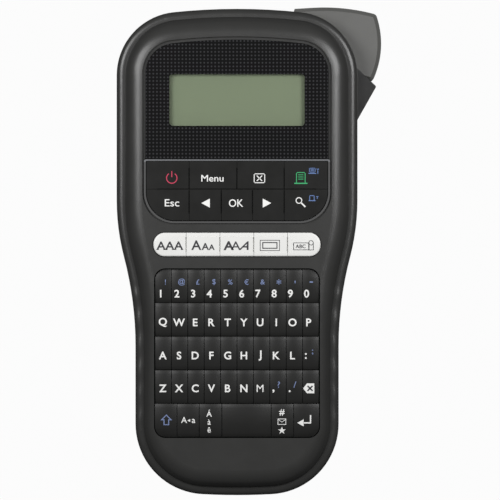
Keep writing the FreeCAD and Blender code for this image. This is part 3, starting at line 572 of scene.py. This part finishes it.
# %% [markdown]
# ## Control keys and quick keys
# Nine dark keys fill the tab under the display; the grooves between them stop short of its edges.
# Five white keys form one capsule with short grey grooves. Each key is a cuboid trimmed by a
# plate with the round outline, and then each groove that touches it is cut by itself, because a
# cutter whose parts cross each other confuses a boolean.

# %% Control keys
control_names = ("power", "menu", "clear", "print", "escape", "left", "ok", "right", "preview")
control_low, escape_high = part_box("key_escape")
control_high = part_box("key_print")[1]
tab_round = 12 * MM
control_trim = rounded_plate("control_trim", control_high.x, control_low.y, control_high.y, tab_round,
                             0.6 * MM, control_low.z - MM, control_high.z + MM)
split_y = escape_high.y
groove_half = 0.3 * MM
groove_deep = 0.6 * MM


def cut_grooves(key, lines, top):
    """Cuts each groove (a line from one point to another) that crosses the key."""
    low = [min(v.co[i] for v in key.data.vertices) for i in (0, 1)]
    high = [max(v.co[i] for v in key.data.vertices) for i in (0, 1)]
    for start, end in lines:
        left, foot = start[0] - groove_half, start[1] - groove_half
        right, head = end[0] + groove_half, end[1] + groove_half
        if left < high[0] and right > low[0] and foot < high[1] and head > low[1]:
            cutter = block("groove", (left, foot, top - groove_deep), (right, head, top + MM))
            crossed(key, cutter, "DIFFERENCE")
            bpy.data.objects.remove(cutter)


split_half = 33.3 * MM
upper_ends = (27.2 * MM, 35.2 * MM)
lower_ends = (16.6 * MM, 26.0 * MM)
grooves = [((-split_half, split_y), (split_half, split_y))]
for name in ("power", "menu", "clear", "escape", "left", "ok", "right"):
    foot, head = upper_ends if name in ("power", "menu", "clear") else lower_ends
    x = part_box("key_" + name)[1].x
    grooves.append(((x, foot), (x, head)))
for name in control_names:
    low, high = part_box("key_" + name)
    key = block(f"key_{name}_cap", low, high)
    crossed(key, control_trim, "INTERSECT")
    cut_grooves(key, grooves, control_high.z)
    caps["key_" + name] = finish_piece(key, control_silicone, f"key_{name}_body")
    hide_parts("key_" + name)
bpy.data.objects.remove(control_trim)
print("control keys:", len(control_names), "grooves:", len(grooves))

# %% Quick keys
quick_names = ("font", "size", "style", "frame", "roll")
quick_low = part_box("quick_font")[0]
quick_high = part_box("quick_roll")[1]
capsule_round = 4.8 * MM
quick_trim = rounded_plate("quick_trim", quick_high.x, quick_low.y, quick_high.y, capsule_round,
                           capsule_round, quick_low.z - MM, quick_high.z)
apply_modifier(quick_trim, "BEVEL", width=0.7 * MM, segments=4, limit_method="ANGLE",
               angle_limit=math.radians(60))
# the joints between the keys are grooves only in the middle of the capsule's height
quick_grooves = []
for name in quick_names[:-1]:
    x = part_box("quick_" + name)[1].x
    quick_grooves.append(((x, 0.4 * MM), (x, 5.9 * MM)))
for name in quick_names:
    low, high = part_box("quick_" + name)
    key = block(f"quick_{name}_cap", low, (high.x, high.y, high.z + MM))
    crossed(key, quick_trim, "INTERSECT")
    cut_grooves(key, quick_grooves, quick_high.z)
    caps["quick_" + name] = finish_piece(key, quick_abs, f"quick_{name}_body")
    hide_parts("quick_" + name)
bpy.data.objects.remove(quick_trim)
print("quick keys:", len(quick_names))

# %% [markdown]
# ## Printed legends
# Ink is a film a few hundredths of a millimetre thick that follows the surface under it. Each
# legend starts as a flat sheet above its key: a text object turned into a mesh, or a symbol drawn
# from bars, rings and polygons. The sheet is subdivided, so that it can bend. A Shrinkwrap
# modifier then projects it straight down on the arched key, and Solidify gives it a little
# thickness.

# %% Legend helpers
ink_proud = 0.08 * MM
ink_deep = 0.12 * MM
# how tall the font's capitals are for a size of one
capital_share = 0.686


def lay_ink(sheet, x, y, key_name, ink):
    """Lowers a flat sheet of ink, drawn about the origin in metres, onto its key at (x, y) mm."""
    cap = caps[key_name]
    body = (key_name if isinstance(key_name, str) else key_name[0]) + "_body"
    sheet.location = (x * MM, y * MM, quick_high.z + MM)
    settle(sheet)
    upside_down = sum(face.normal.z for face in sheet.data.polygons) < 0
    bpy.ops.object.mode_set(mode="EDIT")
    bpy.ops.mesh.select_all(action="SELECT")
    bpy.ops.mesh.subdivide(number_cuts=2)
    if upside_down:
        bpy.ops.mesh.flip_normals()
    bpy.ops.object.mode_set(mode="OBJECT")
    apply_modifier(sheet, "SHRINKWRAP", target=cap, wrap_method="PROJECT", use_project_z=True,
                   use_positive_direction=False, use_negative_direction=True, offset=ink_proud)
    apply_modifier(sheet, "SOLIDIFY", thickness=ink_deep, offset=-1)
    return finish_piece(sheet, ink, body)


def text(name, words, x, y, cap_mm, key_name, ink, thick_mm=0.06, wide=1.0, lean=0.0):
    """Words about (x, y) mm, whose capitals are cap_mm tall."""
    bpy.ops.object.select_all(action="DESELECT")
    bpy.ops.object.text_add()
    sheet = bpy.context.object
    sheet.name = name
    sheet.data.body = words
    # one unit stands for one millimetre until the outline is filled: tiny outlines fill badly
    sheet.data.size = cap_mm / capital_share
    sheet.data.offset = thick_mm
    sheet.data.resolution_u = 4
    sheet.data.shear = lean
    activate(sheet)
    bpy.ops.object.convert(target="MESH")
    spots = [v.co for v in sheet.data.vertices]
    centre = [(min(s[i] for s in spots) + max(s[i] for s in spots)) / 2 for i in (0, 1)]
    sheet.location = (-centre[0] * wide * MM, -centre[1] * MM, 0)
    sheet.scale = (wide * MM, MM, MM)
    settle(sheet)
    return lay_ink(sheet, x, y, key_name, ink)


def bars(name, rectangles, x, y, key_name, ink):
    """Ink bars (left, low, right, high in mm, turn in degrees) drawn about (x, y)."""
    sheets = []
    for left, low, right, high, turn in rectangles:
        bpy.ops.object.select_all(action="DESELECT")
        centre = ((left + right) / 2 * MM, (low + high) / 2 * MM, 0)
        bpy.ops.mesh.primitive_plane_add(size=1, location=centre, rotation=(0, 0, math.radians(turn)))
        bpy.context.object.scale = ((right - left) * MM, (high - low) * MM, 1)
        sheets.append(settle(bpy.context.object))
    activate(sheets[0])
    for sheet in sheets:
        sheet.select_set(True)
    bpy.ops.object.join()
    bpy.context.object.name = name
    return lay_ink(bpy.context.object, x, y, key_name, ink)


def outline(left, low, right, high, line):
    """The four bars that draw a rectangle's outline."""
    return ((left, high - line, right, high, 0), (left, low, right, low + line, 0),
            (left, low, left + line, high, 0), (right - line, low, right, high, 0))


def polygon(name, corners, x, y, key_name, ink):
    """A filled outline through a few corners in mm, drawn about (x, y)."""
    bpy.ops.object.select_all(action="DESELECT")
    bpy.ops.mesh.primitive_circle_add(vertices=len(corners), radius=MM, fill_type="NGON")
    sheet = bpy.context.object
    sheet.name = name
    for vertex, (px, py) in zip(sheet.data.vertices, corners):
        vertex.co = (px * MM, py * MM, 0)
    bpy.ops.object.mode_set(mode="EDIT")
    bpy.ops.mesh.poke()
    bpy.ops.object.mode_set(mode="OBJECT")
    return lay_ink(sheet, x, y, key_name, ink)


def ring(name, radius, width, x, y, key_name, ink, sweep=360.0):
    """A ring, or an arc that opens upwards: a short radial edge spun about the centre."""
    bpy.ops.object.select_all(action="DESELECT")
    bpy.ops.mesh.primitive_plane_add(size=width * MM, location=(radius * MM, 0, 0))
    sheet = settle(bpy.context.object)
    sheet.name = name
    bpy.ops.object.mode_set(mode="EDIT")
    pick(sheet, "verts", lambda spot, spots: spot.y < 0)
    bpy.ops.mesh.delete(type="VERT")
    bpy.ops.mesh.select_all(action="SELECT")
    bpy.ops.transform.translate(value=(0, -width / 2 * MM, 0))
    bpy.ops.mesh.spin(steps=36, angle=math.radians(sweep), center=(0, 0, 0), axis=(0, 0, 1))
    bpy.ops.mesh.select_all(action="SELECT")
    bpy.ops.mesh.remove_doubles(threshold=1e-6)
    bpy.ops.object.mode_set(mode="OBJECT")
    if sweep < 360:
        heavy_side = sum((v.co for v in sheet.data.vertices), Vector())
        sheet.rotation_euler.z = -math.pi / 2 - math.atan2(heavy_side.y, heavy_side.x)
    return lay_ink(sheet, x, y, key_name, ink)


print("legend helpers ready")

# %% Letters and digits
first_x = -31.4
step_x = 6.86
capital = 3.1
bold = 0.1
row_levels = {"digit_keys": -17.6, "upper_keys": -29.8, "home_keys": -43.8, "lower_keys": -57.7}
# a mark's name, and how far it hangs under the middle of the letters
marks = {":": ("colon", 0.2), ",": ("comma", 1.2), ".": ("point", 1.2)}
for node, legends in rows:
    # digits stand to the left, beside their second symbols
    row_x = first_x - 0.9 if node == "digit_keys" else first_x
    for column, legend in enumerate(legends):
        x = row_x + step_x * column
        y = row_levels[node]
        if legend == "<":
            continue
        if legend in marks:
            mark_name, drop = marks[legend]
            text(f"legend_{mark_name}", legend, x - 1.2, y - drop, 3.4, (node, column), ink_white, bold)
        else:
            # the narrow notches of an M would close if it were made bold
            thick = 0.0 if legend == "M" else bold
            text(f"legend_{legend}", legend, x, y, capital, (node, column), ink_white, thick)
second_x = -30.3
second_y = -12.7
second_sizes = {"*": 3.4, "'": 3.0, "-": 3.8}
for column, symbol in enumerate("!@£$%€&*'-"):
    text(f"second_digit_{column}", symbol, second_x + step_x * column, second_y,
         second_sizes.get(symbol, 2.1), ("digit_keys", column), ink_blue, 0.02)
for name, node, column, symbol, x, y in (("semicolon", "home_keys", 9, ";", 32.0, -42.4),
                                         ("question", "lower_keys", 7, "?", 17.7, -56.1),
                                         ("slash", "lower_keys", 8, "/", 24.5, -56.1)):
    text(f"second_{name}", symbol, x, y, 2.6, (node, column), ink_blue, 0.0, 1.25)
print("letters and digits done")

# %% Symbols of the letter keys
erase = ("lower_keys", 9)
erase_y = row_levels["lower_keys"]
polygon("legend_erase", ((2.4, 2.1), (-0.7, 2.1), (-2.3, 0), (-0.7, -2.1), (2.4, -2.1)),
        30.3, erase_y, erase, ink_white)
bars("legend_erase_cross", ((-1.5, -0.3, 1.5, 0.3, 45), (-1.5, -0.3, 1.5, 0.3, -45)),
     30.9, erase_y, erase, ink_black)
# the cross is printed over the white
bpy.ops.object.mode_set(mode="EDIT")
bpy.ops.mesh.select_all(action="SELECT")
bpy.ops.transform.translate(value=(0, 0, 0.1 * MM))
bpy.ops.object.mode_set(mode="OBJECT")
accent_x = -11.8
symbol_x = 19.0
words = (("shift", "\u21e7", -29.9, -71.0, 4.0, ink_blue), ("caps", "A", -22.4, -71.1, 2.5, ink_white),
         ("caps", "a", -18.4, -71.5, 2.5, ink_white), ("accent", "\u00c1", accent_x, -68.2, 2.3, ink_white),
         ("accent", "\u00e0", accent_x, -72.0, 2.3, ink_white),
         ("accent", "\u00ea", accent_x, -75.3, 2.3, ink_white),
         ("symbol", "#", symbol_x, -67.9, 2.6, ink_white),
         ("symbol", "\u2605", symbol_x, -75.4, 2.4, ink_white))
for name, letter, x, y, cap, ink in words:
    thick = 0.0 if name == "shift" else 0.03
    text(f"legend_{name}_{ord(letter)}", letter, x, y, cap, "key_" + name, ink, thick)
polygon("legend_caps_mark", ((0.6, 0.65), (-0.6, 0.0), (0.6, -0.65)), -20.4, -71.3, "key_caps", ink_white)
flap = ((-1.85, 0.3, 0.15, 0.52, -35), (-0.15, 0.3, 1.85, 0.52, 35))
bars("legend_envelope", outline(-1.8, -1.3, 1.8, 1.3, 0.25) + flap, symbol_x, -71.8, "key_symbol", ink_white)
enter_x, enter_y = 28.5, -72.3
polygon("legend_enter_head", ((-0.3, 1.5), (-3.0, 0.0), (-0.3, -1.5)),
        enter_x, enter_y, "key_enter", ink_white)
bars("legend_enter_line", ((-0.6, -0.28, 2.9, 0.28, 0), (2.34, 0.28, 2.9, 3.3, 0)),
     enter_x, enter_y, "key_enter", ink_white)
print("letter symbols done")

# %% Legends of the control keys
text("legend_menu", "Menu", -10.4, 31.2, 2.75, "key_menu", ink_white, 0.03, 1.1)
text("legend_escape", "Esc", -27.5, 20.8, 3.0, "key_escape", ink_white, 0.02, 1.15)
text("legend_ok", "OK", -0.4, 20.7, 3.1, "key_ok", ink_white, 0.03, 0.92)
polygon("legend_left", ((1.8, 1.9), (-1.8, 0), (1.8, -1.9)), -13.3, 20.7, "key_left", ink_white)
polygon("legend_right", ((-1.8, 1.9), (1.8, 0), (-1.8, -1.9)), 12.7, 20.7, "key_right", ink_white)
power_x, power_y = -27.6, 31.3
ring("legend_power_ring", 2.2, 0.4, power_x, power_y, "key_power", ink_red, 290)
bars("legend_power_bar", ((-0.2, 0.4, 0.2, 2.9, 0),), power_x, power_y, "key_power", ink_red)
clear_cross = ((-1.6, -0.2, 1.6, 0.2, 45), (-1.6, -0.2, 1.6, 0.2, -45))
bars("legend_clear_box", outline(-2.4, -2.05, 2.4, 2.05, 0.35) + clear_cross,
     9.5, 31.2, "key_clear", ink_white)
bars("legend_print_page", ((-2.0, 2.15, 2.0, 2.5, 0), (-2.0, -2.0, -1.65, 2.5, 0), (1.65, -2.0, 2.0, 2.5, 0),
                           (-2.8, -2.5, 2.8, -2.0, 0), (-1.1, 1.2, 1.1, 1.5, 0), (-1.1, 0.3, 1.1, 0.6, 0),
                           (-1.1, -0.6, 1.1, -0.3, 0)), 27.0, 31.3, "key_print", ink_green)
page_lines = ((-1.5, 0.6, 0.0, 0.85, 0), (-1.5, 0.1, 0.0, 0.35, 0), (-2.4, -1.1, 0.9, -0.75, 0))
wrench = ((1.45, -1.1, 1.75, 0.5, 0), (1.0, 0.6, 1.8, 0.9, -50), (1.4, 0.6, 2.2, 0.9, 50))
bars("legend_print_set", outline(-2.1, -0.5, 0.6, 1.4, 0.25) + page_lines + wrench,
     32.6, 34.2, "key_print", ink_navy)
ring("legend_preview_ring", 1.2, 0.38, 26.2, 21.8, "key_preview", ink_white)
bars("legend_preview_grip", ((-1.3, -0.3, 1.3, 0.3, -45),), 28.0, 20.0, "key_preview", ink_white)
bars("legend_feed_mark", ((-1.9, -0.9, -1.6, 1.1, 0), (0.0, -0.9, 0.3, 1.1, 0), (-1.9, 0.9, 0.3, 1.2, 0),
                          (-2.2, -1.25, 0.7, -0.9, 0), (1.3, -0.3, 1.6, 0.6, 0), (1.0, 0.5, 1.9, 0.8, 0)),
     32.5, 22.8, "key_preview", ink_navy)
print("control legends done")

# %% Legends of the quick keys
font_x, size_x, style_x, frame_x = -28.4, -14.6, -0.3, 13.9
base_line = 0.95
for number, offset in enumerate((-3.7, 0.0, 3.7)):
    text(f"legend_font_{number}", "A", font_x + offset, 2.7, 3.4, "quick_font", ink_black, 0.07, 1.12)
    bars(f"legend_font_foot_{number}", ((-2.0, -0.12, -0.9, 0.12, 0), (0.9, -0.12, 2.0, 0.12, 0)),
         font_x + offset, 1.05, "quick_font", ink_black)
for number, (offset, cap) in enumerate(((-2.6, 3.9), (1.2, 2.8), (3.9, 2.2))):
    text(f"legend_size_{number}", "A", size_x + offset, base_line + cap / 2, cap, "quick_size",
         ink_black, 0.08, 1.05)
for number, (offset, lean, thick) in enumerate(((-3.2, 0.0, 0.14), (-0.2, 0.0, 0.02), (3.1, 0.45, 0.07))):
    text(f"legend_style_{number}", "A", style_x + offset, 2.7, 3.5, "quick_style",
         ink_black, thick, 1.15, lean)


def hollow_box(name, half_wide, half_tall, line, x, y, key_name):
    """An outline drawn about (x, y) on a quick key."""
    sides = ((-half_wide, half_tall - line, half_wide, half_tall, 0),
             (-half_wide, -half_tall, half_wide, line - half_tall, 0),
             (-half_wide, line - half_tall, line - half_wide, half_tall - line, 0),
             (half_wide - line, line - half_tall, half_wide, half_tall - line, 0))
    return bars(name, sides, x, y, key_name, ink_black)


hollow_box("legend_frame_outer", 4.2, 2.3, 0.25, frame_x, 2.8, "quick_frame")
hollow_box("legend_frame_inner", 3.2, 1.4, 0.4, frame_x, 2.8, "quick_frame")
hollow_box("legend_roll_label", 3.4, 1.6, 0.25, 27.2, 2.4, "quick_roll")
text("legend_roll_words", "ABC", 26.9, 2.4, 1.5, "quick_roll", ink_black, 0.03)
roll_x, roll_y = 31.3, 3.9
ring("legend_roll_top", 0.95, 0.25, roll_x, roll_y, "quick_roll", ink_black)
bars("legend_roll_sides", ((-1.1, -2.9, -0.85, 0.0, 0), (0.85, -2.9, 1.1, 0.0, 0),
                           (-1.1, -3.15, 1.1, -2.9, 0)), roll_x, roll_y, "quick_roll", ink_black)
print("quick legends done")

# %% [markdown]
# ## Springs
# A coil spring is a small circle, the section of the wire, that the Screw modifier turns about an
# axis while it climbs. The lever's return spring is an even coil. The springs at the cells are
# cones, made by tapering an even coil with a Simple Deform modifier.

# %% Coil springs
def coil(name, radius, wire, pitch, turns):
    """An even coil about the Z axis, standing on the XY plane."""
    bpy.ops.object.select_all(action="DESELECT")
    bpy.ops.mesh.primitive_circle_add(vertices=8, radius=wire, location=(radius, 0, wire),
                                      rotation=(math.pi / 2, 0, 0))
    spring = settle(bpy.context.object)
    spring.name = name
    apply_modifier(spring, "SCREW", angle=2 * math.pi * turns, screw_offset=pitch * turns, iterations=1,
                   steps=int(20 * turns), render_steps=int(20 * turns), axis="Z", use_normal_calculate=True)
    bpy.ops.object.mode_set(mode="EDIT")
    bpy.ops.mesh.select_mode(type="EDGE")
    bpy.ops.mesh.select_all(action="DESELECT")
    bpy.ops.mesh.select_non_manifold(extend=False)
    bpy.ops.mesh.edge_face_add()
    bpy.ops.mesh.select_all(action="SELECT")
    bpy.ops.mesh.normals_make_consistent(inside=False)
    bpy.ops.object.mode_set(mode="OBJECT")
    return spring


spring_low, spring_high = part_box("lever_spring")
spring_middle = (spring_low + spring_high) / 2
lever_coil = coil("lever_return_coil", radius=3.2 * MM, wire=0.35 * MM, pitch=0.7 * MM, turns=3.0)
lever_coil.location = (spring_middle.x, spring_middle.y, spring_low.z)
settle(lever_coil)
finish_piece(lever_coil, spring_steel, "case")
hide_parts("lever_spring")

cells_low, cells_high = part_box("aaa_cells")
cell_count = 6
cell_round = cells_high.z - cells_low.z
cell_level = (cells_low.z + cells_high.z) / 2
cell_pitch = (cells_high.y - cells_low.y - cell_round) / (cell_count - 1)
cell_places = []
for number in range(cell_count):
    # neighbours lie head to tail
    way = 1 if number % 2 else -1
    cell_places.append((number, way, cells_low.y + cell_round / 2 + number * cell_pitch))
spring_middle_x = abs(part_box("battery_springs")[0].x) - 1.4 * MM
cell_coil = coil("cell_coil", radius=2.9 * MM, wire=0.3 * MM, pitch=0.72 * MM, turns=3.0)
# a coil is lowered by half its length, so that it tapers and turns about its own middle
cell_coil.location.z = -1.38 * MM
settle(cell_coil)
apply_modifier(cell_coil, "SIMPLE_DEFORM", deform_method="TAPER", factor=-0.45, deform_axis="Z")
for number, way, y in cell_places:
    activate(cell_coil)
    bpy.ops.object.duplicate()
    twin = bpy.context.object
    twin.name = f"cell_spring_{number}"
    twin.rotation_euler.y = way * math.pi / 2
    twin.location = (-way * spring_middle_x, y, cell_level)
    settle(twin)
    finish_piece(twin, spring_steel, "case")
    if number == 0:
        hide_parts("battery_springs")
bpy.data.objects.remove(cell_coil)
print("springs:", 1 + cell_count)

# %% [markdown]
# ## Power cells
# A dry cell is a drawn steel can in a printed plastic sleeve. The sleeve is shrunk over both
# rims, so each end shows a ring of sleeve round bare metal, and the plus end carries a small
# pip. One cell is a cylinder whose end faces are inset and pushed, then copied with its own mesh.

# %% Cells
def sleeve():
    """Shrink sleeve: satin near-black, slightly cloudy where the film was stretched."""
    material, tree, shader, place = new_material("printed_shrink_sleeve", Roughness=0.3, IOR=1.5)
    tree.links.new(tinted(tree, speckle(tree, place, 3.0), "#2a2b2e", "#323336"), shader.inputs["Base Color"])
    bumped(tree, shader, speckle(tree, place, 1.5), 0.1, 0.04)
    return material


cell_sleeve = sleeve()
cell_long = cells_high.x - cells_low.x
can = rod("cell_can", (-0.5 * MM, 0, 0), cell_round / 2, cell_long - MM, (0, math.pi / 2, 0), 40)
bpy.ops.object.mode_set(mode="EDIT")
for side in (-1, 1):
    pick(can, "faces", lambda middle, spots: len(spots) > 4 and side * middle.x > 10 * MM)
    bpy.ops.mesh.inset(thickness=1.0 * MM)
    bpy.ops.transform.translate(value=(-side * 0.3 * MM, 0, 0))
bpy.ops.object.mode_set(mode="OBJECT")
finish_piece(can, cell_sleeve, "case", 0.25)
pip = rod("cell_pip", (cell_long / 2 - 1.0 * MM, 0, 0), 1.9 * MM, 2.0 * MM, (0, math.pi / 2, 0), 32)
finish_piece(pip, plated_steel, "case", 0.3)
for number, way, y in cell_places:
    turn = 0.0 if way > 0 else math.pi
    for part in (can, pip):
        twin = copy_of(part, f"{part.name}_{number}", (0, y, cell_level), turn)
        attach(twin, "case")
        if part is can:
            if number == 0:
                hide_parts("aaa_cells")
bpy.data.objects.remove(can)
bpy.data.objects.remove(pip)
print("cells:", cell_count, "pitch", round(cell_pitch / MM, 1), "mm")

# %% [markdown]
# ## Small things on the back and the edge
# The cover has a thumb dent with a few raised ribs, so that it slides open under a thumb. The
# cassette wears a blank paper label and moulded grip ribs. The power inlet has a bright pin in a
# black socket.

# %% Ribs, label and inlet pin
cover_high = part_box("back_cover")[1]
rib_half = 0.5 * MM
for number in range(5):
    y = cover_high.y - (12.0 + 2.4 * number) * MM
    half = (7.0 - 0.5 * abs(number - 2)) * MM
    rib = block(f"thumb_rib_{number}", (-half, y - rib_half, 0.1 * MM), (half, y + rib_half, 1.5 * MM))
    finish_piece(rib, grip_abs, "cover", 0.35, 3)
tray_low, tray_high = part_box("cassette_tray")
tray_middle = (tray_low + tray_high) / 2
label = rounded_plate("cassette_label", 17 * MM, tray_low.y + 5 * MM, tray_low.y + 19 * MM, 2 * MM, 2 * MM,
                      tray_low.z - 0.08 * MM, tray_low.z + 0.1 * MM)
label.location.x = tray_middle.x
settle(label)
finish_piece(label, ink_white, "case")
for number in range(6):
    x = tray_low.x + (3.5 + 2.2 * number) * MM
    rib = block(f"cassette_rib_{number}", (x - rib_half, tray_low.y + 6 * MM, tray_low.z - 0.35 * MM),
                (x + rib_half, tray_low.y + 18 * MM, tray_low.z + 0.3 * MM))
    finish_piece(rib, cassette_styrene, "case", 0.2)
socket_low, socket_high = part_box("power_socket")
inlet = (socket_low + socket_high) / 2
pin = rod("inlet_pin", (0, socket_high.y - 5.4 * MM, inlet.z), 0.95 * MM, 8.8 * MM, (math.pi / 2, 0, 0), 24)
finish_piece(pin, plated_steel, "case", 0.25)
print("small things done")

# %% [markdown]
# ## Studio
# The object lies on a table under two soft lights that hang high on either side, nearer to its
# display end, so that the front is brightest there and every steep flank falls into shade, while
# the rounded edges beside the front catch a line of light. The table is dark grey, so that it
# doesn't light the flanks from below, but it glows to the camera, which keeps the background white.

# %% Table and world
bpy.ops.object.select_all(action="DESELECT")
bpy.ops.mesh.primitive_plane_add(size=6, location=(0, 0, -0.2 * MM))
table = bpy.context.object
table.name = "table"
paper, tree, shader, place = new_material("glowing_table", Roughness=0.9)
shader.inputs["Base Color"].default_value = linear("#484848")
light_path = add(tree, "LightPath")
seen = add(tree, "Math", {"operation": "MAXIMUM"}, {0: light_path.outputs["Is Camera Ray"],
                                                    1: light_path.outputs["Is Transmission Ray"]})
share = add(tree, "Math", {"operation": "MULTIPLY", 1: 0.97}, {0: seen.outputs[0]})
glow = add(tree, "Emission", {"Color": (1, 1, 1, 1), "Strength": 1.0})
both = add(tree, "MixShader", None, {0: share.outputs[0], 1: shader.outputs[0], 2: glow.outputs[0]})
tree.links.new(both.outputs[0], tree.nodes["Material Output"].inputs["Surface"])
table.data.materials.append(paper)

world = bpy.data.worlds.new("studio")
bpy.context.scene.world = world
world.use_nodes = True
world.node_tree.nodes["Background"].inputs["Color"].default_value = (1, 1, 1, 1)
world.node_tree.nodes["Background"].inputs["Strength"].default_value = 0.14
print("table and world ready")


# %% Lights and camera
def soft_light(name, place, aim, wide, tall, power):
    """A rectangular area light that looks from its place to its aim."""
    light = bpy.data.lights.new(name, "AREA")
    light.shape = "RECTANGLE"
    light.size = wide
    light.size_y = tall
    light.energy = power
    lamp = bpy.data.objects.new(name, light)
    bpy.context.scene.collection.objects.link(lamp)
    lamp.location = place
    lamp.rotation_euler = (Vector(aim) - Vector(place)).to_track_quat("-Z", "Y").to_euler()


light_aside, light_up, light_high = 0.28, 0.17, 0.45
light_aim = (0, 0.0, 0.05)
light_power = 1.62
soft_light("left_softbox", (-light_aside, light_up, light_high), light_aim, 0.2, 0.3, light_power)
soft_light("right_softbox", (light_aside, light_up, light_high), light_aim, 0.2, 0.3, light_power)

# how much of the front the picture holds, and the spot at its middle
view_wide = 212.3 * MM
view_middle = (5.5 * MM, 0.85 * MM)
camera_high = 1.6
front_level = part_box("front_case")[1].z - 6 * MM
camera_data = bpy.data.cameras.new("camera")
camera_data.sensor_width = 36.0
camera_data.lens = 36.0 * (camera_high - front_level) / view_wide
camera = bpy.data.objects.new("camera", camera_data)
bpy.context.scene.collection.objects.link(camera)
camera.location = (*view_middle, camera_high)
bpy.context.scene.camera = camera
bpy.context.scene.view_settings.view_transform = "Standard"
print("lights:", len(bpy.data.lights), "lens:", round(camera_data.lens, 1), "mm")
